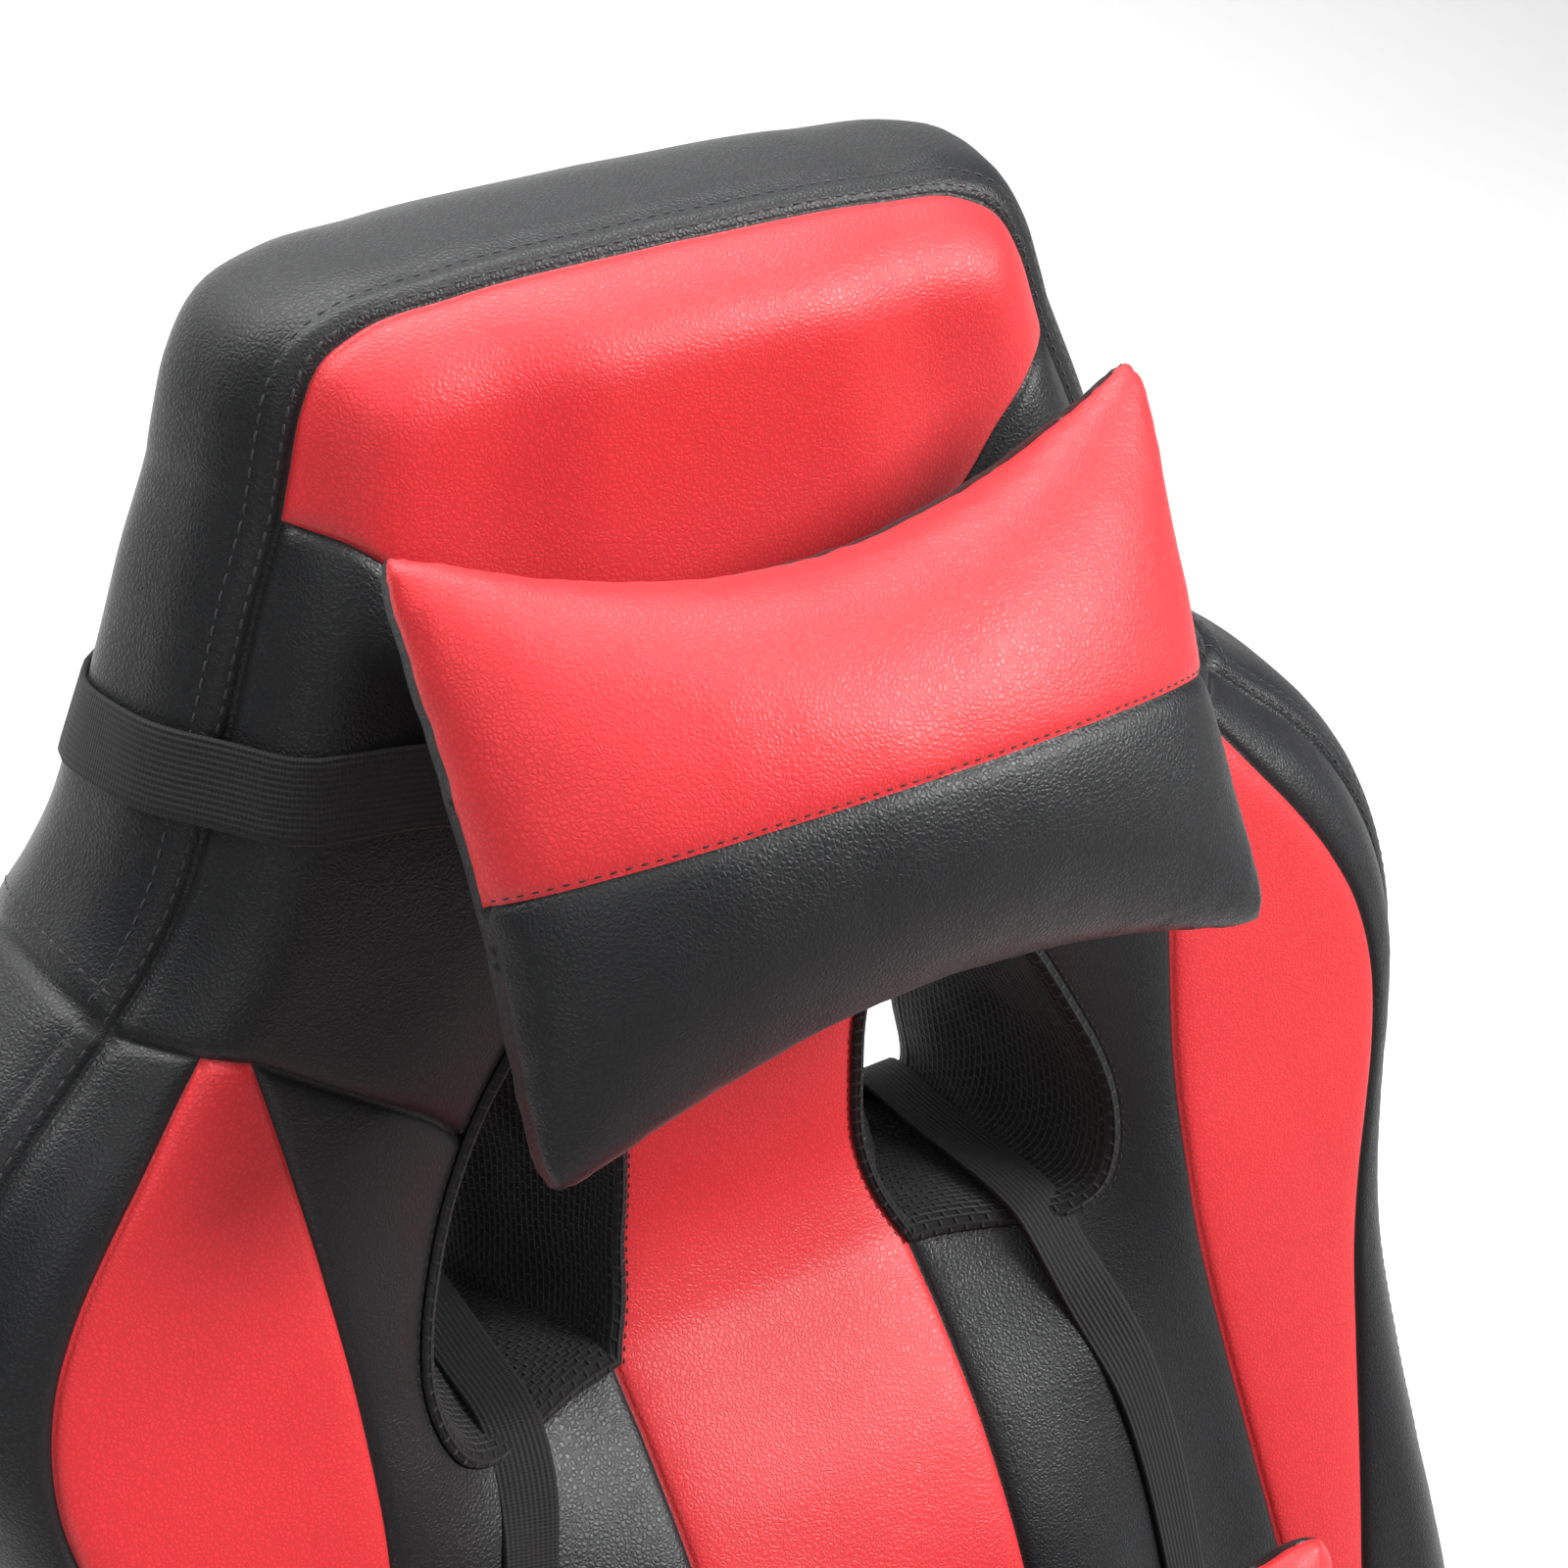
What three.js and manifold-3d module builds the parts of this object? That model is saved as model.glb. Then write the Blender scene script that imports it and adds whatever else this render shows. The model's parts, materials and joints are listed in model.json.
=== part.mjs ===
// A racing-style gaming chair on a five-star base with twin-wheel casters.
// Units are millimetres, +Z is up and the chair faces -Y, so the sitter's right hand is on the -X side.
// The origin is on the floor, in the middle of the chair's own box.
import * as THREE from 'three';
import { mergeVertices } from 'three/addons/utils/BufferGeometryUtils.js';
import Module from 'manifold-3d';

const wasm = await Module();
wasm.setup();

// ---------- driving dimensions ----------
const GAP = 0.4; // clearance between pieces that fit into each other
const BASE_REACH = 315; // column axis to caster stem
const LEGS = 5;
const WHEEL_RADIUS = 30;
const WHEEL_FACETS = 20;
const TRAIL = 22; // caster stem to axle
const STEM_RADIUS = 5.5;
const HUB_TOP = 130;
const CYLINDER_RADIUS = 25;
const PISTON_RADIUS = 14;
const LIFT_TRAVEL = 80;
const TILT_PIN = { y: -45, z: 386 };
const SPRING_Y = -98;
const LEVER = { x: -24, y: 26, z: 356 };
const BOARD = { width: 430, front: -240, rear: 185, bottom: 408, thickness: 12 };
const SEAT_TOP = 496;
const HINGE = { y: 275, z: 452 };
const HINGE_PLATE_X = 236; // inner face of the moving hinge plate
const PLATE = 5; // thickness of the hinge plates
const ARM = { x: 296, y: 8, bracketY: 50, sleeveTop: 606, padBottom: 640 };
const PADDING = 86; // depth of the backrest's side band
const BAND_FLARE = 19; // how far the side band swells past its front seam

// ---------- materials ----------
const finish = (color, roughness, metalness = 0) => new THREE.MeshStandardMaterial({ color, roughness, metalness });
const RED_LEATHER = finish(0xe23a3c, 0.45);
const BLACK_LEATHER = finish(0x1b1b1e, 0.48);
const ELASTIC = finish(0x121213, 0.9);
const NYLON = finish(0x18181a, 0.5);
const SOFT_PLASTIC = finish(0x1c1c1e, 0.6);
const BLACK_STEEL = finish(0x202124, 0.4, 0.6);
const CHROME = finish(0xc9ccd0, 0.18, 1);
const PLYWOOD = finish(0xb98d5c, 0.75);

// ---------- shape helpers ----------
function mergedPositions(geometry) {
  const flat = geometry.index ? geometry.toNonIndexed() : geometry;
  const bare = new THREE.BufferGeometry().setAttribute('position', flat.getAttribute('position'));
  return mergeVertices(bare, 1e-3);
}

// A closed geometry as a manifold solid, turned to face out if its winding faces in.
function toSolid(geometry) {
  const merged = mergedPositions(geometry);
  const vertProperties = new Float32Array(merged.attributes.position.array);
  const triVerts = new Uint32Array(merged.index.array);
  const made = new wasm.Manifold(new wasm.Mesh({ numProp: 3, vertProperties, triVerts }));
  if (made.volume() > 0) return made;
  const turned = triVerts.slice().reverse();
  return new wasm.Manifold(new wasm.Mesh({ numProp: 3, vertProperties, triVerts: turned }));
}

function toGeometry(solid) {
  const mesh = solid.getMesh();
  const geometry = new THREE.BufferGeometry();
  geometry.setAttribute('position', new THREE.BufferAttribute(new Float32Array(mesh.vertProperties), 3));
  geometry.setIndex(new THREE.BufferAttribute(new Uint32Array(mesh.triVerts), 1));
  return geometry;
}

const facingOut = (geometry) => toGeometry(toSolid(geometry));
const join = (...geometries) => toGeometry(geometries.map(toSolid).reduce((a, b) => a.add(b)));
const cut = (geometry, ...tools) => toGeometry(tools.map(toSolid).reduce((a, b) => a.subtract(b), toSolid(geometry)));

// A box between two corners.
function block([x0, y0, z0], [x1, y1, z1]) {
  const box = new THREE.BoxGeometry(x1 - x0, y1 - y0, z1 - z0);
  return box.translate((x0 + x1) / 2, (y0 + y1) / 2, (z0 + z1) / 2);
}

// Turned solid about Z from [radius, z] points; the profile ends on the axis or closes on itself.
function turned(points, facets) {
  const profile = points.map(([radius, z]) => new THREE.Vector2(radius, z));
  return facingOut(new THREE.LatheGeometry(profile, facets).rotateX(Math.PI / 2));
}

const rod = (radius, z0, z1, facets = 16) => turned([[0, z0], [radius, z0], [radius, z1], [0, z1]], facets);
const ring = (outer, inner, z0, z1, facets = 24) =>
  turned([[inner, z0], [outer, z0], [outer, z1], [inner, z1], [inner, z0]], facets);
const alongX = (geometry) => geometry.rotateY(Math.PI / 2);

// A plate in the YZ plane between two x values, from a Shape drawn in (y, z).
function sidePlate(shape, x0, x1, curveSegments = 6) {
  const flat = new THREE.ExtrudeGeometry(shape, { depth: x1 - x0, bevelEnabled: false, curveSegments });
  const turn = new THREE.Matrix4().makeBasis(
    new THREE.Vector3(0, 1, 0), new THREE.Vector3(0, 0, 1), new THREE.Vector3(1, 0, 0));
  return flat.applyMatrix4(turn).translate(x0, 0, 0);
}

// A slab lying flat, from a Shape drawn in (x, y).
const slab = (shape, z0, z1, curveSegments = 3) =>
  new THREE.ExtrudeGeometry(shape, { depth: z1 - z0, bevelEnabled: false, curveSegments }).translate(0, 0, z0);

function roundedRectangle(width, height, radius, centreX = 0, centreY = 0) {
  const [x, y] = [centreX - width / 2, centreY - height / 2];
  const shape = new THREE.Shape();
  shape.moveTo(x + radius, y);
  shape.lineTo(x + width - radius, y);
  shape.absarc(x + width - radius, y + radius, radius, -Math.PI / 2, 0);
  shape.lineTo(x + width, y + height - radius);
  shape.absarc(x + width - radius, y + height - radius, radius, 0, Math.PI / 2);
  shape.lineTo(x + radius, y + height);
  shape.absarc(x + radius, y + height - radius, radius, Math.PI / 2, Math.PI);
  shape.lineTo(x, y + radius);
  shape.absarc(x + radius, y + radius, radius, Math.PI, Math.PI * 1.5);
  return shape;
}

// A solid through a row of rings with the same number of points; each end is closed by a fan.
function loft(rings) {
  const count = rings[0].length;
  const positions = rings.flat().flatMap((p) => [p.x, p.y, p.z]);
  const index = [];
  for (let r = 0; r + 1 < rings.length; r += 1) {
    for (let i = 0; i < count; i += 1) {
      const [a, b] = [r * count + i, r * count + ((i + 1) % count)];
      index.push(a, b, a + count, b, b + count, a + count);
    }
  }
  [[0, 1], [rings.length - 1, -1]].forEach(([r, turn]) => {
    const middle = rings[r].reduce((sum, p) => sum.clone().add(p)).divideScalar(count);
    positions.push(middle.x, middle.y, middle.z);
    const centre = positions.length / 3 - 1;
    for (let i = 0; i < count; i += 1) {
      const [a, b] = [r * count + i, r * count + ((i + 1) % count)];
      index.push(centre, turn > 0 ? b : a, turn > 0 ? a : b);
    }
  });
  const geometry = new THREE.BufferGeometry();
  geometry.setAttribute('position', new THREE.Float32BufferAttribute(positions, 3));
  geometry.setIndex(index);
  return facingOut(geometry);
}

// A flat strap along points; across gives the direction of its width at a point.
function strap(points, width, thickness, across) {
  const rings = points.map((point, i) => {
    const ahead = points[Math.min(i + 1, points.length - 1)];
    const behind = points[Math.max(i - 1, 0)];
    const along = ahead.clone().sub(behind).normalize();
    const side = across.clone().addScaledVector(along, -across.dot(along)).normalize();
    const off = new THREE.Vector3().crossVectors(along, side);
    return [[-1, -1], [1, -1], [1, 1], [-1, 1]].map(([s, t]) =>
      point.clone().addScaledVector(side, (s * width) / 2).addScaledVector(off, (t * thickness) / 2));
  });
  return loft(rings);
}

// A round bar or tube along a curve.
function bar(points, radius, steps, sides = 8) {
  const path = new THREE.CatmullRomCurve3(points, false, 'centripetal');
  const section = new THREE.Shape(new THREE.EllipseCurve(0, 0, radius, radius).getPoints(sides).slice(0, -1));
  return facingOut(new THREE.ExtrudeGeometry(section, { steps, extrudePath: path }));
}

function piece(parent, name, geometry, material) {
  const mesh = new THREE.Mesh(geometry, material);
  mesh.name = name;
  parent.add(mesh);
  return mesh;
}

// ---------- casters ----------
// Each caster is drawn with its stem on the Z axis and its wheels trailing towards +Y.
function casterWheel(side) {
  const corner = WHEEL_RADIUS / Math.cos(Math.PI / WHEEL_FACETS); // so that a facet lies flat on the floor
  const [inner, outer] = [6, 25.5];
  const wheel = turned([
    [4.5, inner], [corner - 3, inner], [corner, inner + 3], [corner, outer - 5], [corner - 5, outer],
    [4.5, outer], [4.5, inner],
  ], WHEEL_FACETS);
  // A facet of the lathe lies across its -Y side after this half-facet turn; that side becomes the floor side.
  const placed = alongX(wheel.rotateZ(Math.PI / WHEEL_FACETS)).translate(0, TRAIL, WHEEL_RADIUS);
  return facingOut(placed.scale(side, 1, 1));
}

function casterHood() {
  const [fender, well, halfWidth] = [35.5, 32, 25];
  const dome = new THREE.Shape();
  dome.absarc(0, 0, fender, 0.1, Math.PI * 0.94);
  const boss = rod(10, 45, 66, 8);
  const cover = join(sidePlate(dome, -halfWidth, halfWidth, 5).translate(0, TRAIL, WHEEL_RADIUS), boss);
  const wheelWell = alongX(rod(well, -40, 40, 16)).translate(0, TRAIL, WHEEL_RADIUS);
  const web = new THREE.Shape();
  web.absarc(0, 0, well + 1, 0.12, Math.PI * 0.93);
  web.absarc(0, 0, 11, Math.PI, Math.PI * 2);
  const spine = sidePlate(web, -4.5, 4.5, 4).translate(0, TRAIL, WHEEL_RADIUS);
  const axle = alongX(rod(4, -24.5, 24.5, 8)).translate(0, TRAIL, WHEEL_RADIUS);
  const bore = rod(STEM_RADIUS + 2 * GAP, 54, 80, 8);
  return cut(join(cut(cover, wheelWell), spine, axle), bore);
}

const casterStem = () =>
  turned([[0, 55], [STEM_RADIUS, 55], [STEM_RADIUS, 67], [9, 67], [9, 69.4], [STEM_RADIUS, 69.4],
    [STEM_RADIUS, 98], [0, 98]], 8);

function caster(parent, number) {
  const group = new THREE.Group();
  const angle = legAngle(number);
  group.position.set(BASE_REACH * Math.cos(angle), BASE_REACH * Math.sin(angle), 0);
  piece(group, `caster_stem_${number}`, casterStem(), CHROME);
  piece(group, `caster_hood_${number}`, casterHood(), NYLON);
  piece(group, `caster_wheel_left_${number}`, casterWheel(1), NYLON);
  piece(group, `caster_wheel_right_${number}`, casterWheel(-1), NYLON);
  parent.add(group);
}

// ---------- five-star base ----------
const legAngle = (number) => -Math.PI / 2 + ((number - 1) * Math.PI * 2) / LEGS; // leg 1 points forward

// One leg along +X: an arched channel, open underneath, that ends in the caster's socket.
function baseLeg() {
  const section = (r, halfWidth, bottom, top, inset) => [
    [-halfWidth, bottom], [halfWidth, bottom], [halfWidth, top - 7], [halfWidth - 9, top],
    [-halfWidth + 9, top], [-halfWidth, top - 7],
  ].map(([y, z]) => new THREE.Vector3(r, y * inset, z));
  const outside = loft([section(22, 34, 84, HUB_TOP - 2, 1), section(110, 28, 84, 125, 1),
    section(220, 22, 80, 113, 1), section(BASE_REACH, 18, 74, 100, 1)]);
  const hollow = loft([section(46, 29, 60, HUB_TOP - 8, 1), section(110, 24, 60, 120, 1),
    section(220, 18, 60, 108, 1), section(BASE_REACH - 24, 15, 60, 97, 1)]);
  const socket = turned([[0, 71], [19, 71], [21, 76], [19, 100], [12, 104], [0, 104]], 12)
    .translate(BASE_REACH, 0, 0);
  const bore = rod(STEM_RADIUS + 2 * GAP, 60, 99, 8).translate(BASE_REACH, 0, 0);
  return cut(join(cut(outside, hollow), socket), bore);
}

function starBase() {
  const hub = turned([[0, 70], [38, 70], [42, 84], [40, HUB_TOP - 6], [36, HUB_TOP], [0, HUB_TOP]], 16);
  const legs = Array.from({ length: LEGS }, (_, i) => baseLeg().rotateZ(legAngle(i + 1)));
  return cut(join(hub, ...legs), rod(CYLINDER_RADIUS + GAP, 60, 140, 24));
}

// ---------- gas lift ----------
const gasCylinder = () => turned([
  [PISTON_RADIUS + GAP, 68], [CYLINDER_RADIUS, 68], [CYLINDER_RADIUS, 270], [22, 274],
  [PISTON_RADIUS + GAP, 274], [PISTON_RADIUS + GAP, 68]], 24);

const gasPiston = () => turned([
  [0, 150], [PISTON_RADIUS, 150], [PISTON_RADIUS, 362], [5, 364], [5, 367], [0, 367]], 20);

// One stage of the telescopic dust cover: a thin tube with a lip at the foot.
function coverStage(radius, bottom, top) {
  const wall = 2;
  const lip = radius + wall - GAP;
  return turned([[radius - wall, bottom], [lip, bottom], [lip, bottom + 6], [radius, bottom + 8],
    [radius, top], [radius - wall, top], [radius - wall, bottom]], 24);
}

// ---------- tilt mechanism ----------
const BODY_HALF = 35; // half width of the mechanism's lower body
const EAR = { inner: 37, outer: 41 };

function tiltBase() {
  const body = block([-BODY_HALF, -128, 344], [BODY_HALF, 46, 370]);
  const ears = [-1, 1].map((side) => block(
    [side > 0 ? 28 : -BODY_HALF, TILT_PIN.y - 14, 368], [side > 0 ? BODY_HALF : -28, TILT_PIN.y + 14, TILT_PIN.z + 9]));
  const springCup = rod(27, 318, 370, 20).translate(0, SPRING_Y, 0);
  const cone = rod(25, 326, 360, 20);
  const springBore = rod(22, 300, 364, 20).translate(0, SPRING_Y, 0);
  const coneBore = rod(PISTON_RADIUS + GAP, 300, 380, 20);
  const pinBore = alongX(rod(5 + GAP, -50, 50, 12)).translate(0, TILT_PIN.y, TILT_PIN.z);
  const bushBore = rod(10 + GAP, -10 - GAP, 10 + GAP, 16).rotateX(Math.PI / 2)
    .translate(LEVER.x, LEVER.y, LEVER.z);
  const leverSlot = block([-BODY_HALF - 1, LEVER.y - 5, LEVER.z - 8], [2, LEVER.y + 5, LEVER.z + 8]);
  return cut(join(body, ...ears, springCup, cone), springBore, coneBore, pinBore, bushBore, leverSlot);
}

function tiltPlate() {
  const top = slab(roundedRectangle(160, 250, 14, 0, -10), 403, BOARD.bottom - GAP);
  const earShape = new THREE.Shape();
  earShape.moveTo(TILT_PIN.y - 34, 405);
  earShape.absarc(TILT_PIN.y, TILT_PIN.z, 11, Math.PI, Math.PI * 2);
  earShape.lineTo(TILT_PIN.y + 34, 405);
  const ears = [sidePlate(earShape, EAR.inner, EAR.outer), sidePlate(earShape, -EAR.outer, -EAR.inner)];
  const pinBore = alongX(rod(5 + GAP, -60, 60, 12)).translate(0, TILT_PIN.y, TILT_PIN.z);
  return cut(join(top, ...ears), pinBore);
}

const tiltPin = () => alongX(turned([[0, -46], [8, -46], [8, -42], [5, -42], [5, 46], [0, 46]], 12))
  .translate(0, TILT_PIN.y, TILT_PIN.z);

function tensionSpring() {
  const [turns, stepsPerTurn, coilRadius, bottom, top] = [4, 9, 15, 326, 358];
  const points = Array.from({ length: turns * stepsPerTurn + 1 }, (_, i) => {
    const angle = (i / stepsPerTurn) * Math.PI * 2;
    const z = bottom + ((top - bottom) * i) / (turns * stepsPerTurn);
    return new THREE.Vector3(coilRadius * Math.cos(angle), SPRING_Y + coilRadius * Math.sin(angle), z);
  });
  return bar(points, 2.6, turns * stepsPerTurn, 5);
}

function tensionKnob() {
  const flutes = 7;
  const grip = new THREE.Shape(Array.from({ length: flutes * 4 }, (_, i) => {
    const angle = (i / (flutes * 4)) * Math.PI * 2;
    const radius = 25 + 1.8 * Math.cos(angle * flutes);
    return new THREE.Vector2(radius * Math.cos(angle), radius * Math.sin(angle));
  }));
  const screw = rod(5, 300, 362, 12);
  const collar = rod(20, 311, 322.6, 20);
  return join(slab(grip, 288, 312), collar, screw).translate(0, SPRING_Y, 0);
}

function leverBush() {
  const barrel = rod(10, -10, 10, 16).rotateX(Math.PI / 2);
  return cut(barrel, alongX(rod(4.7, -12, 12, 8))).translate(LEVER.x, LEVER.y, LEVER.z);
}

// The lift lever is a bent steel rod; its straight inner end slides in the bush.
function liftLever() {
  const bends = [[24, 0], [0, 0], [-40, 0], [-66, -3], [-100, -12], [-132, -16], [-229, -18]];
  return bar(bends.map(([x, z]) => new THREE.Vector3(LEVER.x + x, LEVER.y, LEVER.z + z)), 4, 24, 8);
}

function leverGrip() {
  const section = (x, halfY, halfZ) => Array.from({ length: 10 }, (_, i) => {
    const angle = (i / 10) * Math.PI * 2;
    return new THREE.Vector3(x, LEVER.y + halfY * Math.cos(angle), LEVER.z - 18 + halfZ * Math.sin(angle));
  });
  const paddle = loft([section(-236, 8, 7), section(-246, 13, 7), section(-286, 17, 6), section(-308, 15, 5),
    section(-314, 9, 3)]);
  return cut(paddle, alongX(rod(5, -254, -230, 10)).translate(0, LEVER.y, LEVER.z - 18));
}

// ---------- seat ----------
const seatBoard = () => slab(
  roundedRectangle(BOARD.width, BOARD.rear - BOARD.front, 40, 0, (BOARD.rear + BOARD.front) / 2),
  BOARD.bottom, BOARD.bottom + BOARD.thickness);

// Seat stations from front to rear: y, half width, bottom, middle height, bolster height.
const SEAT_STATIONS = [
  [-292, 200, 440, 462, 466], [-284, 232, 426, 482, 494], [-258, 252, 422, 497, 518], [-190, 260, 421, 500, 534],
  [-60, 262, 421, 494, 544], [70, 262, 421, 493, 546], [130, 256, 421, 494, 540], [152, 230, 421, 495, 530],
  [172, 224, 423, 494, 518], [180, 214, 432, 484, 500],
];

function seatCushion() {
  const rings = SEAT_STATIONS.map(([y, half, bottom, middle, bolster]) => {
    const rise = bolster - middle;
    const side = [
      [half - 14, bottom], [half, bottom + 14], [half + 1, (bottom + bolster) / 2], [half - 2, bolster - 12],
      [half - 18, bolster], [half - 52, bolster - 4 - 0.1 * rise], [half - 92, middle + 0.18 * rise],
      [half - 130, middle],
    ];
    const outline = [...side, ...side.slice().reverse().map(([x, z]) => [-x, z])];
    return outline.map(([x, z]) => new THREE.Vector3(x, y, z));
  });
  return loft(rings);
}

// ---------- recline hinges ----------
const seatPlateX = HINGE_PLATE_X + PLATE + 1; // the fixed plate is outboard of the moving one

function seatHingePlate(side) {
  const outline = new THREE.Shape();
  outline.moveTo(60, BOARD.bottom - PLATE - GAP);
  outline.lineTo(230, BOARD.bottom - PLATE - GAP);
  outline.absarc(HINGE.y, HINGE.z, 32, -Math.PI * 0.42, Math.PI * 0.62);
  outline.lineTo(232, 452);
  outline.lineTo(196, 426);
  outline.lineTo(146, 417);
  outline.lineTo(60, 417);
  const upright = sidePlate(outline, seatPlateX, seatPlateX + PLATE);
  const flange = block([160, 70, BOARD.bottom - PLATE - GAP], [seatPlateX + 2, 170, BOARD.bottom - GAP]);
  const pivot = alongX(rod(9, HINGE_PLATE_X - 4, seatPlateX + 2, 16)).translate(0, HINGE.y, HINGE.z);
  return facingOut(join(upright, flange, pivot).scale(side, 1, 1));
}

function backHingePlate(side) {
  const outline = new THREE.Shape();
  outline.absarc(HINGE.y, HINGE.z, 26, Math.PI * 0.9, Math.PI * 2.05);
  outline.lineTo(HINGE.y + 12, HINGE.z + 92);
  outline.absarc(HINGE.y - 1, HINGE.z + 92, 12, 0, Math.PI);
  const plate = sidePlate(outline, HINGE_PLATE_X, HINGE_PLATE_X + PLATE);
  const bore = alongX(rod(9 + GAP, 200, 260, 16)).translate(0, HINGE.y, HINGE.z);
  return facingOut(cut(plate, bore).scale(side, 1, 1));
}

// A moulded cover over the outside of each hinge, hollow towards the plates.
function hingeCover(side) {
  const outline = (grow) => {
    const shape = new THREE.Shape();
    shape.moveTo(150 - grow, 436);
    shape.lineTo(160 - grow, 412 - grow);
    shape.lineTo(250, 406 - grow);
    shape.absarc(HINGE.y, HINGE.z, 38 + grow, -Math.PI * 0.4, Math.PI * 0.66);
    shape.lineTo(196, 458 + grow);
    return shape;
  };
  const [inside, outside] = [seatPlateX + PLATE + 1, 276];
  const crown = sidePlate(outline(0), outside - 8, outside, 6);
  const shell = sidePlate(outline(5), inside, outside - 7, 6);
  const hollow = sidePlate(outline(0), inside - 2, outside - 11, 6);
  const spindleBore = alongX(rod(7, inside, outside + 1, 12)).translate(0, HINGE.y, HINGE.z);
  return facingOut(cut(join(shell, crown), hollow, spindleBore).scale(side, 1, 1));
}

function reclineLever() {
  const arm = new THREE.Shape();
  arm.absarc(HINGE.y, HINGE.z, 17, -Math.PI / 2, Math.PI / 2);
  arm.quadraticCurveTo(210, 470, 150, 462);
  arm.absarc(142, 454, 8, Math.PI / 2, Math.PI * 1.5);
  arm.quadraticCurveTo(215, 444, HINGE.y, HINGE.z - 17);
  const spindle = alongX(rod(6, -278, -249, 12)).translate(0, HINGE.y, HINGE.z);
  return join(sidePlate(arm, -289, -277, 6), spindle);
}

// ---------- armrests ----------
function armBracket(side) {
  const [inner, outer, bottom] = [112, ARM.x + 3, BOARD.bottom - 6 - GAP];
  const foot = block([inner, ARM.y - 25, bottom], [outer, ARM.y + 25, BOARD.bottom - GAP]);
  const upright = block([outer - 6, ARM.y - 25, bottom], [outer, ARM.y + 25, 500]);
  return facingOut(join(foot, upright).scale(side, 1, 1));
}

function armSleeve(side) {
  const outer = slab(roundedRectangle(36, 74, 13, ARM.x, ARM.y), 436, ARM.sleeveTop);
  const foot = slab(roundedRectangle(42, 80, 15, ARM.x, ARM.y), 430, 446);
  const barSlot = block([ARM.x - 3 - GAP, ARM.y - 25 - GAP, 420], [ARM.x + 3 + GAP, ARM.y + 25 + GAP, 502]);
  const postBore = slab(roundedRectangle(21, 53, 5, ARM.x, ARM.y), 508, 650);
  return facingOut(cut(join(outer, foot), barSlot, postBore).scale(side, 1, 1));
}

function armPost(side) {
  const post = slab(roundedRectangle(20, 52, 4.5, ARM.x, ARM.y), 512, ARM.padBottom - GAP);
  const head = slab(roundedRectangle(34, 74, 10, ARM.x, ARM.y), ARM.sleeveTop + 6, ARM.padBottom - GAP);
  const pocket = block([ARM.x + 6, ARM.y - 9, 616], [ARM.x + 30, ARM.y + 9, 632]);
  return facingOut(cut(join(post, head), pocket).scale(side, 1, 1));
}

const armButton = (side) => facingOut(block(
  [ARM.x + 11, ARM.y - 8.4, 616.6], [ARM.x + 22, ARM.y + 8.4, 631.4]).scale(side, 1, 1));

function armPad(side) {
  const outline = (inset, z) => {
    const points = roundedRectangle(92 - inset, 262 - inset, 26 - inset / 2, ARM.x, ARM.y - 4).getPoints(3);
    return points.slice(0, -1).map((p) => new THREE.Vector3(p.x, p.y, z));
  };
  const bottom = ARM.padBottom;
  return facingOut(loft([outline(10, bottom), outline(0, bottom + 7), outline(0, bottom + 20),
    outline(6, bottom + 26), outline(18, bottom + 29)]).scale(side, 1, 1));
}

// ---------- backrest ----------
// Stations up the back from the hinge: height, half width at the front seam, and the depth (towards the rear)
// of the seam, of the wings' crest and of the middle.
const BACK_STATIONS = [
  [26, 190, -46, -70, -72], [60, 200, -44, -76, -84], [100, 213, -36, -72, -84], [140, 250, -26, -60, -76],
  [190, 270, -12, -42, -62], [260, 263, 8, -20, -40], [320, 257, 22, -2, -16], [360, 255, 31, 9, 8],
  [390, 258, 37, 16, 34], [415, 263, 44, 22, 58], [450, 269, 52, 32, 70], [485, 269, 60, 41, 69],
  [515, 258, 67, 48, 66], [540, 240, 73, 53, 62], [575, 199, 82, 60, 60], [600, 181, 85, 64, 62],
  [640, 157, 89, 69, 66], [680, 142, 93, 74, 70], [710, 130, 95, 77, 72], [735, 121, 97, 81, 77],
  [752, 108, 99, 86, 84], [763, 84, 106, 98, 96], [770, 60, 122, 116, 114],
];

// The section at any height, in the same order as a station.
function backSection(height) {
  const above = BACK_STATIONS.findIndex(([z]) => z >= height);
  const [low, high] = [BACK_STATIONS[above - 1], BACK_STATIONS[above]];
  const t = (height - low[0]) / (high[0] - low[0]);
  return low.map((value, i) => THREE.MathUtils.lerp(value, high[i], t));
}

// The outline of one section: from the middle of the front round the right band to the rear, then mirrored.
function backRing([z, half, seam, crest, middle]) {
  const top = z > 760 ? 0.45 : z > 745 ? 0.8 : 1; // the band narrows over the rounded top
  const back = seam + PADDING * top;
  const flare = BAND_FLARE * top;
  const right = [
    [Math.min(60, half * 0.3), middle], [half * 0.6, crest], [half - 28, crest], [half, seam],
    [half + flare * 0.8, seam + 26 * top], [half + flare, seam + 52 * top], [half + flare * 0.5, back - 8 * top],
    [half - 24, back], [half * 0.4, back + 2],
  ];
  const outline = [...right, ...right.slice().reverse().map(([x, y]) => [-x, y])];
  return outline.map(([x, y]) => new THREE.Vector3(x, HINGE.y + y, HINGE.z + z));
}

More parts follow.
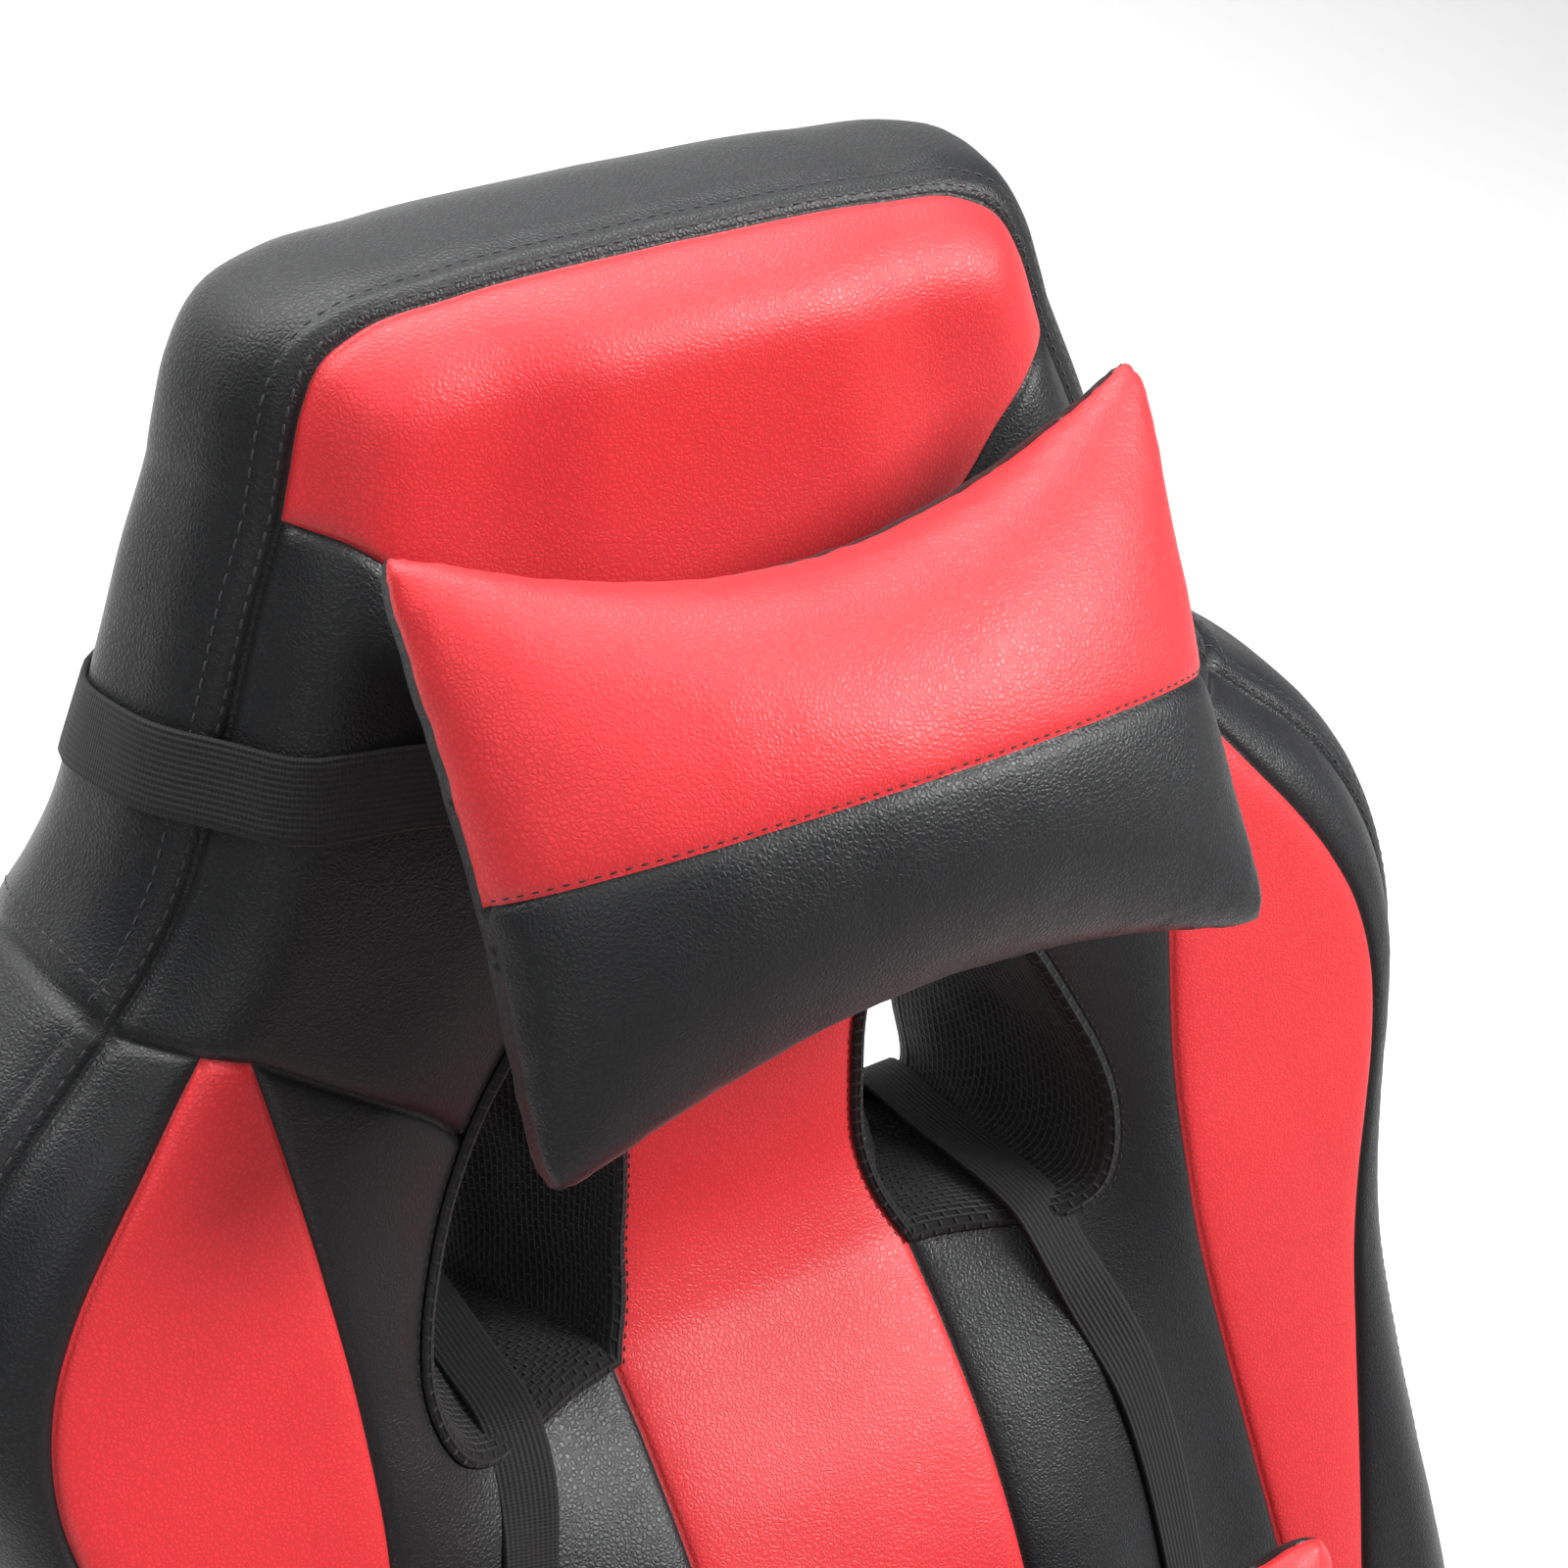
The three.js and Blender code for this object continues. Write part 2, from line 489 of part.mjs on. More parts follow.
// The openings beside the neck are funnels: wide and flat-bottomed in front, a narrow slot at the rear.
function backOpening(side) {
  const mouth = [[58, 410], [47, 448], [46, 500], [54, 534], [68, 548], [88, 532], [108, 503], [124, 468], [129, 442],
    [116, 411]];
  const slot = [[84, 412], [82, 440], [82, 480], [85, 508], [92, 518], [100, 510], [107, 494], [110, 470], [110, 440],
    [108, 412]];
  // The mouth lies 40 mm and the slot 150 mm behind the hinge; the straight sides run on past both faces.
  const [mouthDepth, slotDepth, before, behind] = [40, 150, -60, 190];
  const rings = [before, mouthDepth, slotDepth, behind].map((depth) => {
    const t = THREE.MathUtils.clamp((depth - mouthDepth) / (slotDepth - mouthDepth), 0, 1);
    return mouth.map(([x, z], i) => new THREE.Vector3(
      THREE.MathUtils.lerp(x, slot[i][0], t), HINGE.y + depth, HINGE.z + THREE.MathUtils.lerp(z, slot[i][1], t)));
  });
  return facingOut(loft(rings).scale(side, 1, 1));
}

// The steel tube inside the backrest: up one wing, over the head and down the other.
function backTube(radius, lowest) {
  const side = [[192, 10, lowest], [195, 14, 60], [200, 18, 110], [232, 36, 210], [226, 66, 350], [205, 92, 470],
    [160, 116, 560], [126, 132, 640], [98, 138, 690], [56, 140, 710]];
  const route = [...side, ...side.slice().reverse().map(([x, y, z]) => [-x, y, z])];
  return bar(route.map(([x, y, z]) => new THREE.Vector3(x, HINGE.y + y, HINGE.z + z)), radius, 32, 6);
}

// Bushes that carry the hinge plates' bolts, two on each side.
function frameLugs(radius, overlap) {
  const lugs = [-1, 1].flatMap((side) => [46, 84].map((height) =>
    alongX(rod(radius, 0, HINGE_PLATE_X - GAP - 194 + overlap, 10)).scale(side, 1, 1)
      .translate(side * 194, HINGE.y + 12, HINGE.z + height)));
  return lugs;
}

const backFrame = () => join(backTube(11, 4), ...frameLugs(7, 0));
const backCushion = () => cut(loft(BACK_STATIONS.map(backRing)), backOpening(1), backOpening(-1),
  backTube(12, 8), ...frameLugs(8, 10));

// ---------- pillows and straps ----------
// A stuffed pillow drawn upright at the origin: thin at its corners and waisted in the middle.
// The top edge dips deeper than the bottom one rises.
function pillow(width, cornerHeight, waistHeight, front, rear, topDip) {
  const [stations, around] = [8, 14];
  const rings = Array.from({ length: stations + 1 }, (_, s) => {
    const across = -1 + (2 * s) / stations;
    const fullness = Math.sqrt(Math.max(0.03, 1 - across ** 4));
    const height = (waist) => waist / 2 + (cornerHeight / 2 - waist / 2) * across ** 2;
    const [below, above] = [height(waistHeight), height(waistHeight - 2 * topDip)];
    return Array.from({ length: around }, (_, i) => {
      const angle = (i / around) * Math.PI * 2;
      const [c, n] = [Math.cos(angle), Math.sin(angle)];
      const depth = (n < 0 ? front : rear) * fullness * Math.sign(n) * Math.abs(n) ** 0.9;
      const half = c > 0 ? above : below;
      return new THREE.Vector3((across * width) / 2, depth, half * Math.sign(c) * Math.abs(c) ** 0.7);
    });
  });
  return loft(rings);
}

const HEAD_PILLOW = { y: 8, z: 638, lean: THREE.MathUtils.degToRad(-26) };
const LUMBAR_PILLOW = { y: -88, z: 232, lean: THREE.MathUtils.degToRad(-17) };
const STRAP_THICKNESS = 2;

// The head strap follows the backrest's outline from behind the pillow, round the rear and back again.
function headStrap() {
  const [width, lift] = [25, 2.2];
  const half = [594, 600, 618, 640, 643, 641, 636, 630, 626]; // height at each point of the half outline
  const heights = [...half, ...half.slice().reverse()];
  const corners = (i, height) => {
    const outline = backRing(backSection(height));
    const along = outline[Math.min(i + 1, 17)].clone().sub(outline[Math.max(i - 1, 0)]);
    const outward = new THREE.Vector3(along.y, -along.x, 0).normalize();
    return [lift, lift + STRAP_THICKNESS].map((off) => outline[i].clone().addScaledVector(outward, off));
  };
  return loft(heights.map((height, i) => {
    const [lowInside, lowOutside] = corners(i, height - width / 2);
    const [highInside, highOutside] = corners(i, height + width / 2);
    return [lowInside, lowOutside, highOutside, highInside];
  }));
}

// From the lumbar pillow's top up through the opening, down the rear, under the backrest and up to its foot.
function lumbarStrap(side) {
  const [width, lift] = [20, 6];
  const front = (x, z) => {
    const [inner, outer] = backRing(backSection(z));
    const edges = [x - width / 2, x + width / 2];
    const depths = edges.map((edge) => THREE.MathUtils.mapLinear(edge, inner.x, outer.x, inner.y, outer.y));
    return Math.min(...depths) - lift - HINGE.y;
  };
  const rear = (z) => backRing(backSection(z))[8].y + lift - HINGE.y;
  const up = [[126, 326], [120, 356], [110, 384], [104, 402]].map(([x, z]) => [x, front(x, z), z]);
  const through = [[102, 32, 416], [99, 60, 418], [97, 100, 420], [96, 135, 419]];
  const down = [[97, 402], [100, 360], [106, 270], [112, 190], [116, 110], [118, 44]].map(([x, z]) => [x, rear(z), z]);
  const under = [[118, 44, 18], [118, -60, 16], [118, -80, 20], [119, -87, 62], [121, -88, 104]];
  const route = [[127, -45, 300], ...up, ...through, ...down, ...under, [124, -91, 150]];
  const points = route.map(([x, y, z]) => new THREE.Vector3(side * x, HINGE.y + y, HINGE.z + z));
  return strap(points, width, STRAP_THICKNESS, new THREE.Vector3(1, 0, 0));
}

// ---------- the chair ----------
const chair = new THREE.Group();

piece(chair, 'star_base', starBase(), NYLON);
for (let number = 1; number <= LEGS; number += 1) caster(chair, number);
piece(chair, 'gas_cylinder', gasCylinder(), BLACK_STEEL);
piece(chair, 'gas_piston', gasPiston(), CHROME);
piece(chair, 'column_cover_lower', coverStage(38, HUB_TOP + GAP, 214), NYLON);
piece(chair, 'column_cover_middle', coverStage(34, 160, 252), NYLON);
piece(chair, 'column_cover_upper', coverStage(30, 196, 325), NYLON);

piece(chair, 'tilt_base', tiltBase(), BLACK_STEEL);
piece(chair, 'tilt_plate', tiltPlate(), BLACK_STEEL);
piece(chair, 'tilt_pin', tiltPin(), CHROME);
piece(chair, 'tension_spring', tensionSpring(), CHROME);
piece(chair, 'tension_knob', tensionKnob(), NYLON);
piece(chair, 'lever_bush', leverBush(), NYLON);
piece(chair, 'lift_lever', liftLever(), CHROME);
piece(chair, 'lever_grip', leverGrip(), NYLON);

piece(chair, 'seat_board', seatBoard(), PLYWOOD);
piece(chair, 'seat_cushion', seatCushion(), BLACK_LEATHER);
for (const [word, side] of [['left', 1], ['right', -1]]) {
  piece(chair, `arm_bracket_${word}`, armBracket(side), BLACK_STEEL);
  piece(chair, `arm_sleeve_${word}`, armSleeve(side), SOFT_PLASTIC);
  piece(chair, `arm_post_${word}`, armPost(side), SOFT_PLASTIC);
  piece(chair, `arm_button_${word}`, armButton(side), NYLON);
  piece(chair, `arm_pad_${word}`, armPad(side), SOFT_PLASTIC);
  piece(chair, `seat_hinge_plate_${word}`, seatHingePlate(side), BLACK_STEEL);
  piece(chair, `back_hinge_plate_${word}`, backHingePlate(side), BLACK_STEEL);
  piece(chair, `hinge_cover_${word}`, hingeCover(side), NYLON);
  piece(chair, `lumbar_strap_${word}`, lumbarStrap(side), ELASTIC);
}
piece(chair, 'recline_lever', reclineLever(), NYLON);
piece(chair, 'back_frame', backFrame(), BLACK_STEEL);
piece(chair, 'back_cushion', backCushion(), BLACK_LEATHER);

const headPillow = piece(chair, 'head_pillow', pillow(258, 186, 138, 42, 48, 12), RED_LEATHER);
headPillow.position.set(0, HINGE.y + HEAD_PILLOW.y, HINGE.z + HEAD_PILLOW.z);
headPillow.rotation.x = HEAD_PILLOW.lean;
const lumbarPillow = piece(chair, 'lumbar_pillow', pillow(310, 196, 178, 46, 34, 4), RED_LEATHER);
lumbarPillow.position.set(0, HINGE.y + LUMBAR_PILLOW.y, HINGE.z + LUMBAR_PILLOW.z);
lumbarPillow.rotation.x = LUMBAR_PILLOW.lean;
piece(chair, 'head_strap', headStrap(), ELASTIC);

// Centre the chair's own box on the origin in Y; it is already centred in X and stands on Z = 0.
const extent = new THREE.Box3().setFromObject(chair, true);
chair.position.y = -(extent.min.y + extent.max.y) / 2;
const model = new THREE.Group();
model.add(chair);
export default model;
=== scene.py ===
# %% [markdown]
# # A racing-style gaming chair
# The chair's solids come from CAD as a fixed frame, in metres, with +Z up and the chair facing -Y.
# This lesson dresses that frame: leather covers, strapped pillows, straps, turned metal and moulded plastic.
# The frame is loaded first, because every later piece takes its place from it.

# %% Load the frame
import json
import math
import bmesh
import bpy
import numpy as np
from mathutils import Matrix, Vector, geometry, noise
from mathutils.bvhtree import BVHTree


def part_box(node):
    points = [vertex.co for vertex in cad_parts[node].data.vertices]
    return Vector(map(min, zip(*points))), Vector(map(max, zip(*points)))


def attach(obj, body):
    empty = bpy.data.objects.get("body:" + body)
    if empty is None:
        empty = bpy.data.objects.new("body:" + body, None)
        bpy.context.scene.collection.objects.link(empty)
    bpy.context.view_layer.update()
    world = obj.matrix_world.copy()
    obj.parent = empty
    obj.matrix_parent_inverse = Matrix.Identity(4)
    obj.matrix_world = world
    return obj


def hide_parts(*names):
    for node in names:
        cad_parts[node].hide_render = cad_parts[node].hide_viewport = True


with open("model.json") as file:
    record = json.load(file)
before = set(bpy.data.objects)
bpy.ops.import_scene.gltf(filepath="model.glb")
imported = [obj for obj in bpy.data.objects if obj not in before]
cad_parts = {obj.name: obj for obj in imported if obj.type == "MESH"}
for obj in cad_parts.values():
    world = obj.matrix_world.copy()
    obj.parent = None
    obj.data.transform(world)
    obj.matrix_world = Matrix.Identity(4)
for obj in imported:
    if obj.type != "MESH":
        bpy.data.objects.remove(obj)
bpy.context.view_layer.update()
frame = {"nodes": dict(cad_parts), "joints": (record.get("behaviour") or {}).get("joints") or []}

scene = bpy.context.scene
nodes = frame["nodes"]
joints = {joint["name"]: joint for joint in frame["joints"]}
hinge = np.array(joints["recline"]["pos_m"])
print(len(nodes), "CAD nodes, recline hinge at", hinge)

# %% [markdown]
# The camera looks down on the upper backrest from the front left with a short telephoto lens.
# Its place is stated from the recline hinge, because the backrest is drawn from there too.

# %% Camera
camera_data = bpy.data.cameras.new("portrait_lens")
camera = bpy.data.objects.new("camera", camera_data)
scene.collection.objects.link(camera)
CAMERA_FROM_HINGE = Vector((-0.4187, -0.5905, 1.0497))
VIEW_DIRECTION = Vector((0.4767, 0.7230, -0.5))
camera.location = Vector(hinge) + CAMERA_FROM_HINGE
camera.rotation_euler = VIEW_DIRECTION.to_track_quat("-Z", "Y").to_euler()
camera_data.sensor_width = 36
camera_data.lens = 68.6
camera_data.clip_end = 50
scene.camera = camera
print("camera at", tuple(round(v, 3) for v in camera.location))

# %% [markdown]
# The studio is a white floor that runs up into a white sweep, lit by large soft boxes.
# The box overhead lights the upper faces, the two in front model the leather, and the last one whitens the sweep.
# The plain white world is dim where it lights the chair and bright where the camera looks straight at it.

# %% Floor and lights
def linear(code):
    """An sRGB hex colour such as "e5383b" as the linear colour that shaders work in."""
    parts = [int(code[i:i + 2], 16) / 255 for i in (0, 2, 4)]
    return [p / 12.92 if p <= 0.04045 else ((p + 0.055) / 1.055) ** 2.4 for p in parts] + [1]


def mesh_object(name, points, faces):
    """A smooth-shaded object made from points in metres and faces."""
    mesh = bpy.data.meshes.new(name)
    mesh.from_pydata([tuple(p) for p in points], [], [tuple(f) for f in faces])
    mesh.update()
    made = bpy.data.objects.new(name, mesh)
    scene.collection.objects.link(made)
    mesh.polygons.foreach_set("use_smooth", [True] * len(mesh.polygons))
    return made


def soft_box(name, place, target, size, watts, spread=180):
    """A rectangular area light that faces a target; a narrow spread keeps it off the rest of the room."""
    light = bpy.data.lights.new(name, "AREA")
    light.shape = "RECTANGLE"
    light.size, light.size_y = size
    light.energy = watts
    light.spread = math.radians(spread)
    box = bpy.data.objects.new(name, light)
    box.location = place
    box.rotation_euler = (Vector(target) - Vector(place)).to_track_quat("-Z", "Y").to_euler()
    scene.collection.objects.link(box)


SWEEP_HALF_WIDTH = 7.0
ROOM_LIGHT, ROOM_SEEN = 0.11, 1.0
sweep_bends = [(-6.0, 0.0), (3.0, 0.0), (3.9, 0.25), (4.3, 0.9), (4.4, 1.6), (4.4, 6.0)]
sweep_points = [(x, y, z) for y, z in sweep_bends for x in (-SWEEP_HALF_WIDTH, SWEEP_HALF_WIDTH)]
sweep_faces = [(2 * i, 2 * i + 1, 2 * i + 3, 2 * i + 2) for i in range(len(sweep_bends) - 1)]
floor = mesh_object("studio_sweep", sweep_points, sweep_faces)
soft_box("overhead_box", (0.5, -0.1, 3.2), (0, 0.2, 0.9), (2.4, 2.0), 15, 130)
soft_box("front_right_box", (2.2, -1.7, 2.6), (0, 0.2, 1.0), (1.4, 1.4), 22, 70)
soft_box("front_left_box", (-1.8, -2.3, 3.1), (0, 0.2, 1.0), (2.2, 2.2), 24, 180)
soft_box("backdrop_box", (-0.6, 1.6, 4.6), (-0.2, 3.6, 0.8), (6.0, 1.6), 330)
world = bpy.data.worlds.new("white_room")
world.use_nodes = True
room = world.node_tree
room.nodes["Background"].inputs["Color"].default_value = (1, 1, 1, 1)
seen = room.nodes.new("ShaderNodeLightPath").outputs["Is Camera Ray"]
strength = room.nodes.new("ShaderNodeMapRange")
strength.inputs["To Min"].default_value = ROOM_LIGHT
strength.inputs["To Max"].default_value = ROOM_SEEN
room.links.new(seen, strength.inputs["Value"])
room.links.new(strength.outputs["Result"], room.nodes["Background"].inputs["Strength"])
scene.world = world
scene.view_settings.view_transform = "Standard"
print("studio ready")

# %% [markdown]
# Materials come next. A node tree is easier to read when one helper adds a node, sets it and links it.
# Two more helpers hold what every finish here shares: a shader with its even values, and a colour that follows a level.

# %% One helper for every node
def add(tree, kind, settings=None, links=None):
    """Add a node; settings fill its sockets or attributes, links feed its sockets."""
    node = tree.nodes.new("ShaderNode" + kind)
    for key, value in (settings or {}).items():
        if isinstance(key, int) or key in node.inputs:
            node.inputs[key].default_value = value
        else:
            setattr(node, key, value)
    for key, socket in (links or {}).items():
        tree.links.new(socket, node.inputs[key])
    return node


def finish_of(name, colour, roughness, metallic=0.0, **sockets):
    """A new material: its tree and its shader, with everything that is even set on the shader itself."""
    made = bpy.data.materials.new(name)
    made.use_nodes = True
    tree = made.node_tree
    shader = tree.nodes["Principled BSDF"]
    shader.inputs["Base Color"].default_value = linear(colour)
    shader.inputs["Roughness"].default_value = roughness
    shader.inputs["Metallic"].default_value = metallic
    for key, value in sockets.items():
        shader.inputs[key.replace("_", " ")].default_value = value
    return made, tree, shader


def tint(tree, shader, level, low, high, low_colour, high_colour):
    """Colours a shader by a level: one sRGB colour up to its low value, another from its high value on."""
    share = add(tree, "MapRange", {"From Min": low, "From Max": high}, {"Value": level})
    colours = {"data_type": "RGBA", 6: linear(low_colour), 7: linear(high_colour)}  # sockets 6 and 7 are its A and B
    blend = add(tree, "Mix", colours, {0: share.outputs[0]})
    tree.links.new(blend.outputs[2], shader.inputs["Base Color"])


print("node helpers ready")

# %% [markdown]
# The cover is PU-coated leather: a knitted cloth with a skin of polyurethane that a roller embosses with pebbles.
# Each pebble is about 1.6 mm across, so a Voronoi pattern of that size, bent a little by noise, draws the valleys.
# The valleys are duller than the worn tops and coloured a touch darker, which is painted shade; a slow noise keeps the
# panel from looking printed.

# %% Embossed PU leather
PEBBLE = 0.0016  # metres across one embossed pebble


def pu_leather(name, tops, valley_shade, roughness):
    """Leather whose relief, colour and gloss follow one embossed pattern; its hollows are coloured darker as painted
    shade.
    """
    made, tree, skin = finish_of(name, tops, roughness, IOR=1.5, Sheen_Weight=0.06, Sheen_Roughness=0.4)
    place = add(tree, "TexCoord").outputs["Object"]
    drift = add(tree, "TexNoise", {"Scale": 1 / 0.006, "Detail": 2.0}, {"Vector": place})
    bent = add(tree, "VectorMath", {"operation": "MULTIPLY_ADD", 1: (PEBBLE, PEBBLE, PEBBLE)},
               {0: drift.outputs["Color"], 2: place})
    pebbles = add(tree, "TexVoronoi", {"feature": "DISTANCE_TO_EDGE", "Scale": 1 / PEBBLE},
                  {"Vector": bent.outputs[0]})
    rounded = add(tree, "MapRange", {"interpolation_type": "SMOOTHSTEP", "From Max": 0.32},
                  {"Value": pebbles.outputs["Distance"]})
    cloudy = add(tree, "TexNoise", {"Scale": 1 / 0.05, "Detail": 4.0}, {"Vector": place})
    mixed = add(tree, "Math", {"operation": "MULTIPLY_ADD", 1: 0.75},
                {0: cloudy.outputs["Fac"], 2: rounded.outputs[0]})
    depth = add(tree, "Math", {"operation": "MULTIPLY", 1: 0.6}, {0: mixed.outputs[0]})
    # Painted shade: the pebble hollows take the darker colour and the tops the leather's own; the slow noise adds real
    # random tone.
    tint(tree, skin, depth.outputs[0], 0.2, 0.8, valley_shade, tops)
    worn = add(tree, "MapRange", {"From Min": 0.2, "From Max": 0.95, "To Min": roughness + 0.1,
                                  "To Max": roughness - 0.03}, {"Value": depth.outputs[0]})
    tree.links.new(worn.outputs[0], skin.inputs["Roughness"])
    bump = add(tree, "Bump", {"Strength": 0.42, "Distance": 0.0002}, {"Height": rounded.outputs[0]})
    tree.links.new(bump.outputs["Normal"], skin.inputs["Normal"])
    return made


# The second colour of each leather is the painted shade in its pebble hollows.
red_leather = pu_leather("red_pu_leather", "e63238", "d62b31", 0.4)
black_leather = pu_leather("black_pu_leather", "121317", "08090b", 0.4)
print(red_leather.name, black_leather.name)

# %% [markdown]
# The openings are lined with spacer mesh, a thick knit whose face is a net of small oval holes in offset rows.
# A brick pattern is just such offset rows: its bricks are the holes and its mortar is the yarn, 4.6 by 2.5 mm here.

# %% Spacer mesh and woven elastic
def from_uv(tree, width, height):
    """The strip's own coordinates, which are in metres, as counts of pattern cells."""
    place = add(tree, "TexCoord").outputs["UV"]
    return add(tree, "VectorMath", {"operation": "MULTIPLY", 1: (1 / width, 1 / height, 1)}, {0: place}).outputs[0]


def spacer_mesh():
    """A dark net of yarn with a raised thread round every hole; the holes are coloured near black as painted shade."""
    made, tree, yarn = finish_of("spacer_mesh", "101012", 0.85, Sheen_Weight=0.08, Sheen_Roughness=0.5)
    cells = from_uv(tree, 0.0046, 0.0046)
    net = add(tree, "TexBrick", {"offset": 0.5, "Scale": 1.0, "Mortar Size": 0.17, "Mortar Smooth": 1.0,
                                 "Brick Width": 1.0, "Row Height": 0.55}, {"Vector": cells})
    fuzz = add(tree, "TexNoise", {"Scale": 3.0, "Detail": 3.0}, {"Vector": cells})
    # Painted shade: the holes, which are not cut, are coloured near black for the shade inside them; the yarn takes the
    # lighter colour.
    tint(tree, yarn, net.outputs["Fac"], 0.1, 0.9, "020202", "141417")
    height = add(tree, "Math", {"operation": "MULTIPLY_ADD", 1: 0.25}, {0: fuzz.outputs["Fac"], 2: net.outputs["Fac"]})
    bump = add(tree, "Bump", {"Strength": 0.9, "Distance": 0.0011}, {"Height": height.outputs[0]})
    tree.links.new(bump.outputs["Normal"], yarn.inputs["Normal"])
    return made


# Elastic webbing has rubber cords along it, here 1.8 mm apart, held by a fine weft that crosses them every 1.1 mm.
# A wave texture repeats every 2 pi / 20 of its coordinate at scale 1, so pi / 10 makes one wave per cell.
def woven_elastic():
    """Ribbed webbing: cords along the strip and a weft across it, with painted shade in the grooves between them."""
    made, tree, yarn = finish_of("woven_elastic", "0f0f11", 0.75, Sheen_Weight=0.06, Sheen_Roughness=0.4)
    cells = from_uv(tree, 0.0018, 0.0011)
    cords = add(tree, "TexWave", {"bands_direction": "X", "Scale": math.pi / 10}, {"Vector": cells})
    weft = add(tree, "TexWave", {"bands_direction": "Y", "Scale": math.pi / 10}, {"Vector": cells})
    weave = add(tree, "Math", {"operation": "MULTIPLY_ADD", 1: 0.4}, {0: weft.outputs["Fac"], 2: cords.outputs["Fac"]})
    level = add(tree, "Math", {"operation": "MULTIPLY", 1: 0.7}, {0: weave.outputs[0]})
    # Painted shade: where the weave is low, between cords and weft, it is coloured darker; the raised threads take the
    # lighter colour.
    tint(tree, yarn, level.outputs[0], 0.1, 0.9, "050506", "18181b")
    bump = add(tree, "Bump", {"Strength": 0.8, "Distance": 0.0005}, {"Height": level.outputs[0]})
    tree.links.new(bump.outputs["Normal"], yarn.inputs["Normal"])
    return made


liner_mesh = spacer_mesh()
elastic = woven_elastic()
print(liner_mesh.name, elastic.name)

# %% [markdown]
# The hard parts are glass-filled nylon, moulded soft PU, powder-coated steel, chromed steel and birch plywood.
# Moulded nylon has a fine spark-eroded texture, powder coat an orange peel of about 1 mm, and the thread a twist.

# %% Hard materials and thread
def moulded(name, colour, roughness, grain, depth, metallic=0.0, **sockets):
    """A skin whose only relief is a fine noise of the given grain in metres."""
    made, tree, skin = finish_of(name, colour, roughness, metallic, **sockets)
    place = add(tree, "TexCoord").outputs["Object"]
    fine = add(tree, "TexNoise", {"Scale": 1 / grain, "Detail": 3.0, "Roughness": 0.6}, {"Vector": place})
    worn = add(tree, "TexNoise", {"Scale": 1 / 0.04, "Detail": 4.0}, {"Vector": place})
    dulled = add(tree, "MapRange", {"From Min": 0.3, "From Max": 0.7, "To Min": roughness - 0.06,
                                    "To Max": roughness + 0.08}, {"Value": worn.outputs["Fac"]})
    tree.links.new(dulled.outputs[0], skin.inputs["Roughness"])
    bump = add(tree, "Bump", {"Strength": 0.4, "Distance": depth}, {"Height": fine.outputs["Fac"]})
    tree.links.new(bump.outputs["Normal"], skin.inputs["Normal"])
    return made


# Nylon takes an even satin from the spark-eroded mould. The real grain of 0.1 mm is too fine to show: 0.7 mm here.
nylon = moulded("glass_filled_nylon", "1b1b1d", 0.46, 0.0007, 0.00012, IOR=1.53)
# Integral-skin PU foams up against its mould, so an arm pad or a tyre is duller and slightly pitted.
soft_pu = moulded("moulded_soft_pu", "1d1d1f", 0.62, 0.0011, 0.0002, IOR=1.5)
# Powder coat is baked paint, with a thin gloss over its orange peel.
powder_coat = moulded("powder_coated_steel", "222326", 0.4, 0.0012, 0.0001, IOR=1.5, Coat_Weight=0.15)
# Chromed steel mirrors what is around it, hardly blurred.
chromed = moulded("chromed_steel", "c6c9cc", 0.16, 0.004, 0.00001, metallic=1.0)
# Bonded polyester thread has a fine twist, drawn at 0.4 mm so that it shows, and a faint sheen.
thread = moulded("polyester_thread", "222225", 0.6, 0.0004, 0.0001, Sheen_Weight=0.2)
black_thread = moulded("black_thread", "0c0c0e", 0.6, 0.0004, 0.0001, Sheen_Weight=0.2)


def plywood():
    """Birch plies, whose fibres run along the board and whose layers are 1.5 mm thick."""
    made, tree, wood = finish_of("birch_plywood", "c9a472", 0.65)
    place = add(tree, "TexCoord").outputs["Object"]
    stretched = add(tree, "VectorMath", {"operation": "MULTIPLY", 1: (1 / 0.05, 1 / 0.4, 1 / 0.0015)}, {0: place})
    grain = add(tree, "TexNoise", {"Scale": 1.0, "Detail": 6.0, "Distortion": 0.4}, {"Vector": stretched.outputs[0]})
    tint(tree, wood, grain.outputs["Fac"], 0.3, 0.7, "a97e4e", "d9bb8c")
    return made


birch = plywood()


def painted_floor():
    """Matt white paint with the faint relief that a roller leaves."""
    made, tree, paint = finish_of("matt_white_paint", "f7f7f7", 0.9)
    place = add(tree, "TexCoord").outputs["Object"]
    rolled = add(tree, "TexNoise", {"Scale": 1 / 0.01, "Detail": 2.0}, {"Vector": place})
    bump = add(tree, "Bump", {"Strength": 0.05, "Distance": 0.0005}, {"Height": rolled.outputs["Fac"]})
    tree.links.new(bump.outputs["Normal"], paint.inputs["Normal"])
    return made


floor.data.materials.append(painted_floor())
print("hard materials ready")

# %% [markdown]
# A sewn cover is drawn as flat patterns, as a cutter would: each panel is a closed line, filled with small triangles.
# Neighbouring panels share the very same points along their seam, so that they can be welded into one skin.
# Each point also remembers how far it is from its nearest seam, which later pulls the skin down into the stitching.

